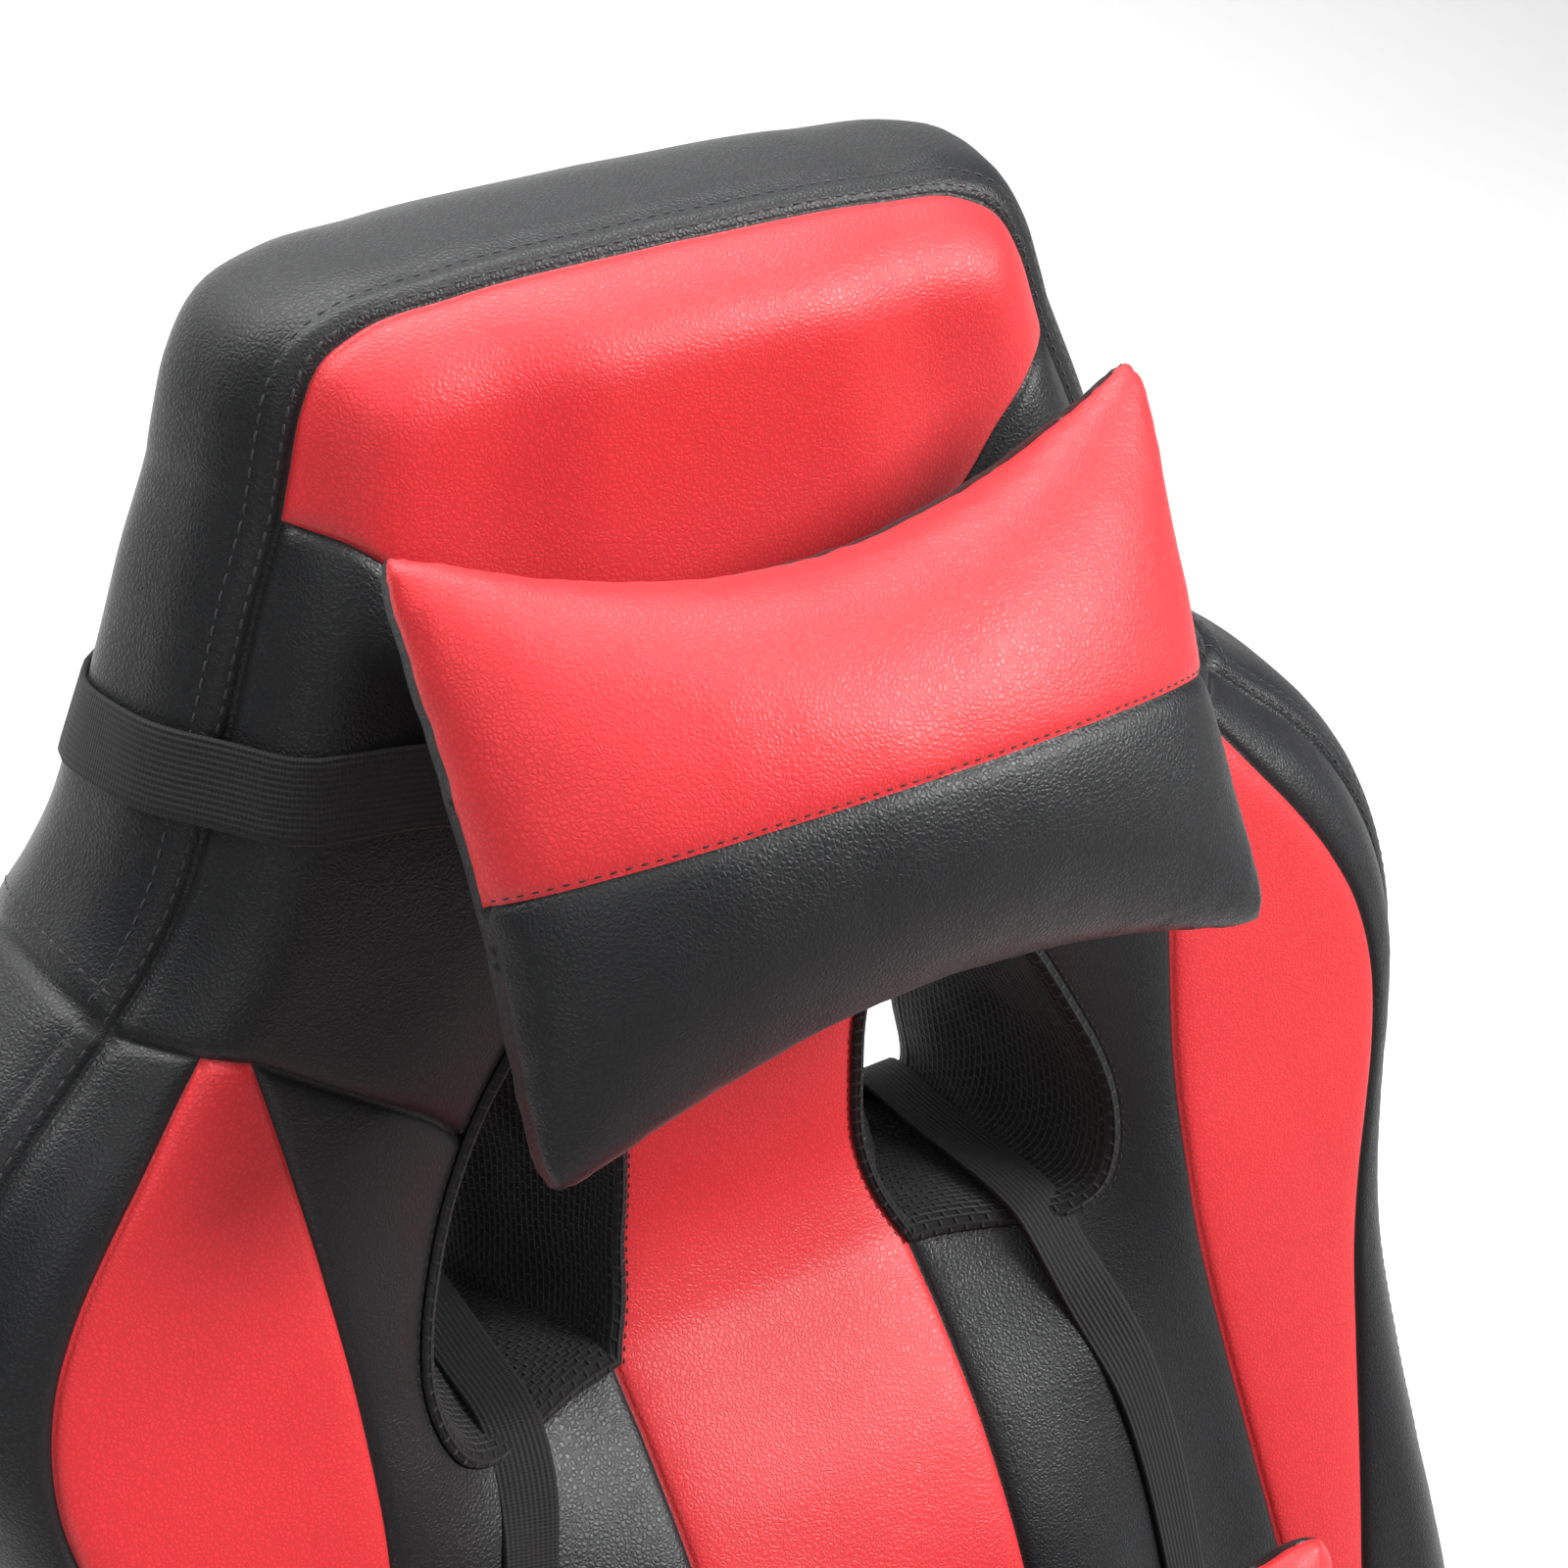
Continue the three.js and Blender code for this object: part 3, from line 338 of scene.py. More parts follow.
# %% Curves and filled panels
def through(xs, ys):
    """A smooth curve y(x) that passes through the given points and never overshoots them."""
    xs, ys = np.array(xs, float), np.array(ys, float)
    steps = np.diff(ys) / np.diff(xs)
    inner = [0 if a * b <= 0 else 2 * a * b / (a + b) for a, b in zip(steps, steps[1:])]
    slopes = np.array([steps[0], *inner, steps[-1]])

    def curve(x):
        x = np.clip(np.asarray(x, float), xs[0], xs[-1])
        i = np.clip(np.searchsorted(xs, x, side="right") - 1, 0, len(xs) - 2)
        h = xs[i + 1] - xs[i]
        t = (x - xs[i]) / h
        return (ys[i] * (1 + 2 * t) * (1 - t) ** 2 + slopes[i] * h * t * (1 - t) ** 2
                + ys[i + 1] * t * t * (3 - 2 * t) + slopes[i + 1] * h * t * t * (t - 1))
    return curve


def run_along(line):
    """How far along a line each of its points is."""
    return np.concatenate([[0], np.linalg.norm(np.diff(line, axis=0), axis=1).cumsum()])


def drawn(points, spacing=3.0):
    """A smooth line through points of any dimension, resampled to an even spacing in mm."""
    p = np.array(points, float)
    run = run_along(p)
    lean = np.gradient(p, run, axis=0)
    s = np.linspace(0, run[-1], max(2, round(run[-1] / spacing) + 1))
    i = np.clip(np.searchsorted(run, s, side="right") - 1, 0, len(p) - 2)
    h = (run[i + 1] - run[i])[:, None]
    t = (s - run[i])[:, None] / h
    return (p[i] * (1 + 2 * t) * (1 - t) ** 2 + lean[i] * h * t * (1 - t) ** 2
            + p[i + 1] * t * t * (3 - 2 * t) - lean[i + 1] * h * t * t * (1 - t))


def smooth_step(t):
    """Eases a share from 0 to 1 at both ends."""
    return t * t * (3 - 2 * t)


def mirrored(line):
    """The same flat line on the other side of the chair, run the other way."""
    return np.asarray(line)[::-1] * np.array([-1, 1])


def loop_of(*lines):
    """Joins lines end to end into one closed loop, without repeating the points where they meet."""
    return np.concatenate([line[:-1] for line in lines])


# %% [markdown]
# A cover is cut from flat panels. To give a panel enough points, its closed seam line is filled with triangles: rows of
# points run close beside the seam, where the leather bends most, and an even mesh fills the rest.

# %% Panels filled with triangles
SMALL = 1e-9  # keeps a division by nothing away
MOST_AT_ONCE = 2000000  # pairs of a point and a stretch that are worked out together


def across(loop):
    """The unit direction across a closed flat line at each of its points."""
    along = np.roll(loop, -1, axis=0) - np.roll(loop, 1, axis=0)
    return np.stack([along[:, 1], -along[:, 0]], 1) / np.maximum(np.linalg.norm(along, axis=1), SMALL)[:, None]


def distance_to(points, loop):
    """For each point, how far the nearest stretch of a closed line is."""
    sides = np.roll(loop, -1, axis=0) - loop
    best = []
    for chunk in np.array_split(points, max(1, len(points) * len(loop) // MOST_AT_ONCE)):
        from_start = chunk[:, None] - loop[None]
        share = np.clip((from_start * sides).sum(2) / np.maximum((sides * sides).sum(1), SMALL), 0, 1)
        best.append(np.linalg.norm(from_start - share[..., None] * sides, axis=2).min(1))
    return np.concatenate(best)


def is_inside(points, loop):
    """Whether each point lies inside a closed line: a ray from it then crosses the line an odd number of times."""
    x, y = points[:, :1], points[:, 1:]
    (x0, y0), (x1, y1) = loop.T, np.roll(loop, -1, axis=0).T
    crosses = ((y0 > y) != (y1 > y)) & (x < (x1 - x0) * (y - y0) / np.where(y1 == y0, 1e-9, y1 - y0) + x0)
    return crosses.sum(1) % 2 == 1


def filled(loop, spacing=5.0, holes=(), rings=(1.0, 2.2, 4.0)):
    """Fills a closed line with triangles: close rows of points beside the seam, an even mesh elsewhere."""
    edges = [loop, *holes]
    low, high = loop.min(0), loop.max(0)
    columns = np.arange(low[0], high[0], spacing)
    rows = np.arange(low[1], high[1], spacing * 0.866)
    grid = np.array([(x + (spacing / 2 if j % 2 else 0), y) for j, y in enumerate(rows) for x in columns])

    def nearest(points):
        return np.min([distance_to(points, edge) for edge in edges], axis=0)

    def within(points):
        inside = is_inside(points, loop)
        for hole in holes:
            inside &= ~is_inside(points, hole)
        return inside

    grid = grid[within(grid)]
    chosen = [grid[nearest(grid) > rings[-1] + spacing * 0.45]]
    for ring in rings:
        for edge in edges:
            for sign in (1, -1):
                beside = edge + sign * ring * across(edge)
                beside = beside[within(beside)]
                if len(beside):
                    chosen.append(beside[nearest(beside) > 0.93 * ring])
    points = np.concatenate([*edges, *chosen])
    starts = np.cumsum([0] + [len(edge) for edge in edges])
    rims = [list(range(starts[i], starts[i + 1])) for i in range(len(edges))]
    result = geometry.delaunay_2d_cdt([Vector(p) for p in points], [], rims, 1, 1e-4)
    flat = np.array([tuple(v) for v in result[0]])
    faces = np.array([f for f in result[2] if len(f) == 3])
    faces = faces[within(flat[faces].mean(1))]
    return flat, faces, nearest(flat)


print("panel tools ready")

# %% [markdown]
# The backrest is described by its sections: at each height, how wide it is and how far back the seam, the crest of
# the wings and the middle lie from the recline hinge. These are the same sections as the CAD solid's, in mm.

# %% Sections of the backrest
heights = [26, 60, 100, 140, 190, 260, 320, 360, 390, 415, 450, 485, 515, 540, 575, 600, 640, 680, 710, 735, 752, 763]
half_width = through(heights, [190, 200, 213, 250, 270, 263, 257, 255, 258, 263, 269, 269, 258, 240, 199, 181, 157,
                               142, 130, 121, 108, 84])
seam_depth = through(heights, [-46, -44, -36, -26, -12, 8, 22, 31, 37, 44, 52, 60, 67, 73, 82, 85, 89, 93, 95, 97, 99,
                               100])
crest_depth = through(heights, [-70, -76, -72, -60, -42, -20, -2, 9, 16, 22, 32, 41, 48, 53, 60, 64, 69, 74, 77, 78,
                                79, 80])
middle_depth = through(heights, [-72, -84, -84, -76, -62, -40, -16, 8, 34, 58, 70, 69, 66, 62, 60, 62, 66, 70, 72, 73,
                                 74, 75])
padding = through([0, 560, 650, 763], [86, 86, 74, 66])
ROLL = 30  # how far in from the seam the front starts to roll over
LOWEST_LEVEL, HIGHEST_LEVEL = 60, 742  # the front keeps its depth below and above these heights

head_side = drawn([(0, 763), (70, 761), (100, 757), (113, 750), (121, 737), (126, 722), (130, 709)])
shoulder = drawn([(130, 709), (140, 686), (150, 660), (163, 629), (173, 608), (186, 590), (200, 576)])
wing = drawn([(200, 576), (214, 564), (230, 551), (246, 534), (258, 515), (266, 494), (270, 465), (267, 439),
              (261, 413), (256, 383), (255, 355), (257, 323), (262, 283), (268, 240), (270, 195), (262, 160),
              (245, 132), (224, 106), (208, 78), (198, 52), (190, 30)])
foot_outer = drawn([(190, 30), (186, 24), (178, 21)])
foot_inner = drawn([(178, 21), (120, 20), (58, 20)])
foot_middle = drawn([(58, 20), (0, 20), (-58, 20)])
right_half = [head_side, shoulder, wing, foot_outer, foot_inner]
outline = loop_of(*right_half, foot_middle, *[mirrored(line) for line in reversed(right_half)])[::-1]


def front(flat):
    """Where a point of the flat front pattern (across, up) lies in space, in mm from the recline hinge."""
    flat = np.asarray(flat, float)
    aside, up = np.abs(flat[:, 0]), flat[:, 1]
    inner_up = np.clip(up, LOWEST_LEVEL, HIGHEST_LEVEL)
    half = half_width(inner_up)
    start = np.minimum(60, 0.3 * half)
    t = np.clip((aside - start) / (0.6 * half - start), 0, 1)
    level = middle_depth(inner_up) + (crest_depth(inner_up) - middle_depth(inner_up)) * smooth_step(t)
    roll = np.clip(1 - distance_to(flat, outline) / ROLL, 0, 1) ** 2.3
    depth = level + (seam_depth(up) - level) * roll
    return np.stack([flat[:, 0], depth, up], 1)


print("outline of", len(outline), "points")

# %% [markdown]
# The front is cut from these panels: a head panel, a yoke that spans the neck, a centre strip between the openings,
# and on each side a black panel, a red teardrop inlay and an outer black border that meet the side band.

# %% Pattern lines of the front
chin = drawn([(130, 709), (117, 704), (102, 692), (86, 674), (66, 658), (36, 648), (0, 645), (-36, 648), (-66, 658),
              (-86, 674), (-102, 692), (-117, 704), (-130, 709)])
yoke_outer = drawn([(200, 576), (190, 574), (181, 571.5)])
yoke_tip = drawn([(181, 571.5), (175, 569.5), (167, 566)])
yoke_inner = drawn([(167, 566), (157, 559), (143, 549), (130, 540), (116, 529), (103, 514)])
mouth_outer = drawn([(103, 514), (112, 498), (120, 481), (127, 463), (130, 446), (128, 430), (122, 418), (112, 411.5),
                     (100, 410), (76, 410), (58, 411)], 2.5)
mouth_inner = drawn([(58, 411), (51, 427), (47, 448), (45.5, 478), (46, 504), (51, 530)], 2.5)
mouth_top = drawn([(51, 530), (57, 542), (68, 548), (79, 545), (88, 536), (96, 525), (103, 514)], 2.5)
crown = drawn([(51, 530), (40, 545), (20, 553), (0, 555), (-20, 553), (-40, 545), (-51, 530)])
strip_side = drawn([(58, 411), (58, 300), (58, 150), (58, 20)])
inlay_outer = drawn([(181, 571.5), (191, 560), (205, 543), (218, 527), (231, 509), (241, 490), (246, 471), (247, 453),
                     (244, 433), (238, 411), (232, 388), (228, 366), (224, 328), (220, 289), (213, 235), (205, 180),
                     (195, 132), (184, 98)])
inlay_inner = drawn([(167, 566), (163, 539), (158, 497), (154.5, 449), (156, 401), (163, 352), (171, 300), (178, 250),
                     (182, 200), (184, 150), (184, 98)])
dart = drawn([(184, 98), (182, 60), (178, 21)])
mouth = loop_of(mouth_inner, mouth_top, mouth_outer)

head_panel = loop_of(head_side, chin, mirrored(head_side))
yoke_panel = loop_of(shoulder, yoke_outer, yoke_tip, yoke_inner, mouth_top[::-1], crown, mirrored(mouth_top)[::-1],
                     mirrored(yoke_inner), mirrored(yoke_tip), mirrored(yoke_outer), mirrored(shoulder), chin[::-1])
strip_panel = loop_of(crown[::-1], mouth_inner[::-1], strip_side, foot_middle, mirrored(strip_side),
                      mirrored(mouth_inner)[::-1])
inner_panel = loop_of(yoke_inner, mouth_outer, strip_side, foot_inner[::-1], dart[::-1], inlay_inner[::-1])
inlay_panel = loop_of(yoke_tip, inlay_inner, inlay_outer[::-1])
border_panel = loop_of(wing, foot_outer, dart[::-1], inlay_outer[::-1], yoke_outer[::-1])
RED, BLACK = 0, 1
front_panels = [(head_panel, RED), (yoke_panel, BLACK), (strip_panel, RED), (inner_panel, BLACK), (inlay_panel, RED),
                (border_panel, BLACK)]
front_panels += [(mirrored(loop), skin) for loop, skin in front_panels[3:]]

# %% [markdown]
# The side band runs right round the outline. Its section swells outwards behind the front seam and turns in at the
# rear, where it is sewn to the rear panel. It swells less over the top of the head than at the sides.

# %% Side band and rear
FULL_DEPTH = 86  # mm of padding at the shoulders and below
swell = through([0, 0.1, 0.3, 0.6, 0.85, 1.0], [0, 8, 15.5, 19, 10, -3])
fall = through([0, 0.1, 0.3, 0.6, 0.85, 1.0], [0, 8, 27, 54, 76, 86])
away = across(outline)
away *= np.sign((away * (outline - [0, 400])).sum())
for _ in range(6):  # the corners of the outline are eased, so that the band doesn't fold there
    away = (np.roll(away, 1, axis=0) + 2 * away + np.roll(away, -1, axis=0)) / 4
away /= np.linalg.norm(away, axis=1)[:, None]
fullness = 0.35 + 0.65 * np.abs(away[:, 0]) ** 1.3


def band(t):
    """The ring of points at a share t of the way round the band, from the front seam to the rear one."""
    out = (swell(t) * fullness)[:, None] * away
    depth = seam_depth(outline[:, 1]) + fall(t) * padding(outline[:, 1]) / FULL_DEPTH
    flat = outline + out
    return np.stack([flat[:, 0], depth, flat[:, 1]], 1)


def rear(flat):
    """The rear face over a flat pattern point, level with the band's rear seam."""
    flat = np.asarray(flat, float)
    up = np.clip(flat[:, 1], 20, 760)
    swelling = 4 * (1 - np.exp(-distance_to(flat, rear_outline) / 30))
    return np.stack([flat[:, 0], seam_depth(up) + padding(up) + swelling, flat[:, 1]], 1)


rear_outline = band(1.0)[:, [0, 2]]
slot = drawn([(84, 412), (82, 440), (82, 480), (85, 508), (92, 518), (100, 510), (107, 494), (110, 470), (110, 440),
              (108, 412), (96, 409), (84, 412)], 3)[:-1]
band_steps = np.concatenate([[0, 0.008, 0.02, 0.04, 0.06, 0.074, 0.084, 0.092, 0.1, 0.11], np.linspace(0.14, 0.92, 17),
                             [0.96, 0.98, 0.992, 1.0]])
band_rings = np.array([band(t) for t in band_steps])
print("band of", len(outline), "by", len(band_steps), "points")

# %% [markdown]
# Sewing it up: every panel becomes points in space, shared points are welded, and each point then moves along the
# smooth surface normal. Close to a seam it is pulled in sharply, over a wider strip it rounds off like stuffed foam,
# and a faint slow noise stands for the hand-pulled leather.

# %% Sew a cover
def sewn(name, sheets, materials, groove=2.3, round_off=1.5, soft=9.0, ripple=0.45):
    """Welds sheets of (points in mm, faces, distance to seam, material) into one padded skin."""
    index, points, gaps, faces, skins = {}, [], [], [], []
    for places, sheet_faces, sheet_gaps, skin in sheets:
        keys = [tuple(np.round(p * 50).astype(int)) for p in places]
        for key, place, gap in zip(keys, places, sheet_gaps):
            if key not in index:
                index[key] = len(points)
                points.append(place)
                gaps.append(gap)
            gaps[index[key]] = min(gap, gaps[index[key]])
        for face in sheet_faces:
            corners = list(dict.fromkeys(index[keys[i]] for i in face))
            if len(corners) > 2:
                faces.append(corners)
                skins.append(skin)
    cover = mesh_object(name, np.array(points) / 1000, faces)
    for material in materials:
        cover.data.materials.append(material)
    cover.data.polygons.foreach_set("material_index", skins)
    work = bmesh.new()
    work.from_mesh(cover.data)
    bmesh.ops.recalc_face_normals(work, faces=work.faces)
    work.normal_update()
    for vertex, gap in zip(work.verts, gaps):
        slow = noise.noise(vertex.co * 17) + 0.5 * noise.noise(vertex.co * 41)
        sink = groove * math.exp(-gap / 1.2) + round_off * math.exp(-gap / soft) - round_off * 0.4
        vertex.co -= vertex.normal * (sink + ripple * slow * (1 - math.exp(-gap / 12))) / 1000
    work.to_mesh(cover.data)
    work.free()
    return cover


def ring_quads(steps, count):
    """The four-sided faces between each ring of points and the next."""
    return [(j * count + i, j * count + (i + 1) % count, (j + 1) * count + (i + 1) % count, (j + 1) * count + i)
            for j in range(steps - 1) for i in range(count)]


def run_down(rings):
    """How many mm down a stack of rings each point is, along its own column."""
    gone = np.linalg.norm(np.diff(rings, axis=0), axis=2).cumsum(0)
    return np.concatenate([np.zeros((1, rings.shape[1])), gone])


def placed(piece, body):
    """Moves a piece drawn from the hinge to its place, and lets it ride on a body."""
    piece.data.transform(Matrix.Translation(Vector(hinge)))
    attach(piece, body)
    return piece


print("sewing tools ready")

# %% [markdown]
# The backrest's cover joins the front panels, the side band and the rear. A top-stitched line runs on the band 9.8 mm
# behind the front seam, and a seam crosses the band at each shoulder, so the leather is pulled in there too.

# %% The cover of the backrest
TOP_LINE = 9.8  # mm from the front seam to the top-stitching
TOP_LINE_SHALLOW = 2.6  # counted as this much further from a seam, so the top-stitching pulls a shallower line
SHOULDER_SEAM = (200, 576)
sheets = []
for loop, skin in front_panels:
    flat, faces, gaps = filled(loop)
    sheets.append((front(flat), faces, gaps, skin))
count = len(outline)
band_run = run_down(band_rings)
band_gap = np.minimum(band_run, band_run[-1] - band_run)
band_gap = np.minimum(band_gap, np.abs(band_run - TOP_LINE) + TOP_LINE_SHALLOW)
outline_run = run_along(outline)
cross_seams = [int(np.argmin(np.linalg.norm(outline - np.array(SHOULDER_SEAM) * [side, 1], axis=1)))
               for side in (-1, 1)]
for seam in cross_seams:
    band_gap = np.minimum(band_gap, np.abs(outline_run - outline_run[seam])[None])
sheets.append((np.concatenate(band_rings), ring_quads(len(band_rings), count), band_gap.ravel(), BLACK))
flat, faces, gaps = filled(rear_outline, 8.0, holes=(slot, mirrored(slot)))
sheets.append((rear(flat), faces, gaps, BLACK))
back_cover = sewn("back_cover", sheets, [red_leather, black_leather])
placed(back_cover, "back")
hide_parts("back_cushion")
print("back_cover:", len(back_cover.data.vertices), "points")

# %% [markdown]
# The openings are finished with a tube of spacer mesh. Its raw edge is folded over the leather at the front, runs
# through the foam and comes out at a smaller slot in the rear, so a loft between the two loops draws it.

# %% Mesh tubes in the openings
def even(loop, count):
    """The same closed line as a given number of evenly spaced points."""
    shut = np.vstack([loop, loop[:1]])
    run = run_along(shut)
    at = np.linspace(0, run[-1], count, endpoint=False)
    return np.stack([np.interp(at, run, shut[:, k]) for k in range(shut.shape[1])], 1)


def grown(loop, by):
    """A closed line moved outwards by some mm."""
    outwards = across(loop)
    outwards *= np.sign((outwards * (loop - loop.mean(0))).sum())
    return loop + by * outwards


def tube(name, rings, thickness, material):
    """Joins rings of points in mm into an open tube with a UV map in metres and some thickness."""
    rings = np.array(rings)
    steps, count = rings.shape[:2]
    made = mesh_object(name, rings.reshape(-1, 3) / 1000, ring_quads(steps, count))
    girth = np.linalg.norm(np.diff(rings[0], axis=0), axis=1).mean() * count * 0.8
    length = np.concatenate([[0], np.linalg.norm(np.diff(rings, axis=0), axis=2).mean(1).cumsum()])
    uv = made.data.uv_layers.new(name="metres")
    for face, (j, i) in zip(made.data.polygons, ((j, i) for j in range(steps - 1) for i in range(count))):
        for corner, (dj, di) in zip(face.loop_indices, ((0, 0), (0, 1), (1, 1), (1, 0))):
            uv.data[corner].uv = ((i + di) / count * girth / 1000, length[j + dj] / 1000)
    wall = made.modifiers.new("cloth_thickness", "SOLIDIFY")
    wall.thickness, wall.offset = thickness / 1000, 0
    made.data.materials.append(material)
    return made


LINER_POINTS = 120
mouth_ring, slot_ring = even(mouth, LINER_POINTS), even(slot, LINER_POINTS)
for side, hand in ((-1, "right"), (1, "left")):
    flip = np.array([side, 1, 1])
    lip = [(grown(mouth_ring, 2.2), 0.2), (grown(mouth_ring, 1.4), -0.9), (grown(mouth_ring, 0.2), -1.4),
           (grown(mouth_ring, -1.2), -0.6), (grown(mouth_ring, -2.2), 1.8), (grown(mouth_ring, -2.6), 5.0)]
    rings = [front(loop) + [0, lift, 0] for loop, lift in lip]
    inner, outer = rings[-1], rear(grown(slot_ring, 1.0)) - [0, 6, 0]
    for t in np.linspace(0, 1, 22)[1:]:
        ease = smooth_step(t)
        middle = inner + (outer - inner) * np.array([ease, t, ease])
        slack = np.array([noise.noise(Vector(p) * 0.045) for p in middle]) * 2.4 * math.sin(math.pi * t)
        rings.append(middle + slack[:, None] * np.array([1, 0, 0.6]))
    rings += [rear(grown(slot_ring, 0.6)) + [0, 1.2, 0], rear(grown(slot_ring, 2.6)) + [0, 1.6, 0]]
    liner = tube("opening_liner_" + hand, np.array(rings) * flip, 1.2, liner_mesh)
    placed(liner, "back")
    print(liner.name, "runs", round(float(outer[:, 1].mean() - inner[:, 1].mean())), "mm deep")

# %% [markdown]
# Thread is what makes a sewn cover read as sewn. Each stitch is a short capsule that lies half sunk in the leather.
# A search tree of the cover finds the surface under each stitch, so the lines follow the cover's ripples exactly.

# %% Stitches
def tree_of(piece):
    """A search tree of a piece's faces, in metres."""
    mesh = piece.data
    return BVHTree.FromPolygons([v.co.copy() for v in mesh.vertices], [tuple(p.vertices) for p in mesh.polygons])


capsule_rings = [(-1.0, 0.35), (-0.8, 0.8), (-0.35, 1.0), (0.35, 1.0), (0.8, 0.8), (1.0, 0.35)]  # place and girth
SIDES = 6
FLATNESS = 0.7  # a stitch is pressed into the leather


def stitches(name, lines, tree, material, spacing=5.0, length=3.5, thick=0.75, lift=0.15):
    """Rows of stitches along lines given in mm, laid on the surface that a search tree holds in metres."""
    points, faces = [], []
    for line in lines:
        run = run_along(line)
        at = np.arange(spacing / 2, run[-1], spacing)
        spots = np.stack([np.interp(at, run, line[:, k]) for k in range(3)], 1)
        leads = np.stack([np.interp(at + 0.8, run, line[:, k]) for k in range(3)], 1)
        for spot, lead in zip(spots, leads):
            found, normal, _, _ = tree.find_nearest(Vector(spot / 1000))
            if found is None:
                continue
            along = Vector(lead - spot)
            along = (along - normal * along.dot(normal)).normalized()
            across = normal.cross(along)
            centre = found * 1000 + normal * lift
            start = len(points)
            for reach, girth in capsule_rings:
                for k in range(SIDES):
                    turn = 2 * math.pi * k / SIDES
                    points.append(centre + along * (reach * length / 2) + (across * math.cos(turn)
                                  + normal * (math.sin(turn) * FLATNESS)) * (girth * thick / 2)
                                  - normal * (0.45 * abs(reach) ** 3))
            for j in range(len(capsule_rings) - 1):
                for k in range(SIDES):
                    a, b = start + j * SIDES + k, start + j * SIDES + (k + 1) % SIDES
                    faces.append((a, b, b + SIDES, a + SIDES))
            faces.append(tuple(start + k for k in reversed(range(SIDES))))
            faces.append(tuple(start + (len(capsule_rings) - 1) * SIDES + k for k in range(SIDES)))
    made = mesh_object(name, [p / 1000 for p in points], faces)
    made.data.materials.append(material)
    return made


def settled(piece, body):
    """Lets a piece that is drawn in place ride on a body."""
    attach(piece, body)
    return piece


def level_line(rings, distance, columns):
    """The line at a distance in mm down a stack of rings, through the given columns of points."""
    gone = run_down(rings)
    return np.array([[np.interp(distance, gone[:, i], rings[:, i, k]) for k in range(3)] for i in columns])


print("thread tools ready")

# %% [markdown]
# The backrest has a row of stitches close to the front seam, the top-stitching on the band, a pair of rows beside each
# shoulder seam, and finer black thread round the openings. No thread shows under the foot of the backrest.

# %% Stitch the backrest
EDGE_LINE = 2.2  # mm from the front seam to the stitches beside it
shift = hinge * 1000
back_tree = tree_of(back_cover)
foot_start = int(np.argmin(np.linalg.norm(outline - [190, 30], axis=1)))
foot_end = int(np.argmin(np.linalg.norm(outline - [-190, 30], axis=1)))
low, high = sorted((foot_start, foot_end))
around_foot = (high - low) < count / 2
order = list(range(high, count)) + list(range(0, low)) if around_foot else list(range(low, high))
rows = [level_line(band_rings, distance, order) + shift for distance in (EDGE_LINE, TOP_LINE)]
for seam in cross_seams:
    for beside in (-3, 3):
        rows.append(band_rings[3:-3, (seam + beside) % count] + shift)
cover_thread = stitches("cover_topstitch", rows, back_tree, thread)
settled(cover_thread, "back")
hole_rows = [front(grown(mouth_ring, 3.6)[list(range(LINER_POINTS)) + [0]]) * [side, 1, 1] + shift for side in (-1, 1)]
hole_thread = stitches("opening_thread", hole_rows, back_tree, black_thread, 4.0, 2.2, 0.55)
settled(hole_thread, "back")
print("stitch rows:", len(rows) + len(hole_rows))

# %% [markdown]
# The elastic straps are flat woven bands. They are modelled directly as ribbons with rounded edges, because a cloth
# simulation's remesh would erase anything this thin. Their UV map is in metres, so that the weave has its real size.

# %% Ribbons
def ribbon(name, middle, facing, width, thickness, material):
    """A band along a line in mm, with the direction that its face looks to at each point."""
    middle, facing = np.array(middle, float), np.array(facing, float)
    along = np.gradient(middle, axis=0)
    along /= np.linalg.norm(along, axis=1)[:, None]
    facing -= (facing * along).sum(1)[:, None] * along
    facing /= np.linalg.norm(facing, axis=1)[:, None]
    sideways = np.cross(along, facing)
    half, r = width / 2, thickness / 2
    side_points = [(half - r, r), (half - 0.3 * r, 0.7 * r), (half, 0), (half - 0.3 * r, -0.7 * r), (half - r, -r)]
    steps = [(w, r) for w in np.linspace(-half + r, half - r, 9)[1:-1]]
    section = steps + side_points + [(-w, -h) for w, h in steps] + [(-w, -h) for w, h in side_points]
    loops = [middle + w * sideways + h * facing for w, h in section]
    loops = np.array(loops).transpose(1, 0, 2)
    stations, corners = loops.shape[:2]
    caps = [tuple(reversed(range(corners))), tuple((stations - 1) * corners + i for i in range(corners))]
    made = mesh_object(name, loops.reshape(-1, 3) / 1000, ring_quads(stations, corners) + caps)
    run = run_along(middle) / 1000
    uv = made.data.uv_layers.new(name="metres")
    for face in made.data.polygons:
        for corner in face.loop_indices:
            vertex = made.data.loops[corner].vertex_index
            uv.data[corner].uv = ((section[vertex % corners][0] + half) / 1000, run[vertex // corners])
    made.data.materials.append(material)
    work = bmesh.new()
    work.from_mesh(made.data)
    bmesh.ops.recalc_face_normals(work, faces=work.faces)
    work.to_mesh(made.data)
    work.free()
    return made


def eased(values, times=4, closed=False):
    """Rounds off a line of points, as tension does to a strap."""
    values = np.array(values, float)
    for _ in range(times):
        if closed:
            values = (np.roll(values, 1, axis=0) + 2 * values + np.roll(values, -1, axis=0)) / 4
        else:
            values[1:-1] = (values[:-2] + 2 * values[1:-1] + values[2:]) / 4
    return values


print("ribbon tools ready")

# %% [markdown]
# The head strap is taut round the neck of the backrest, so it bridges every hollow. Rays from all round find the
# cover's surface, and the line is then pulled straight wherever it dips, as a rubber band would be.

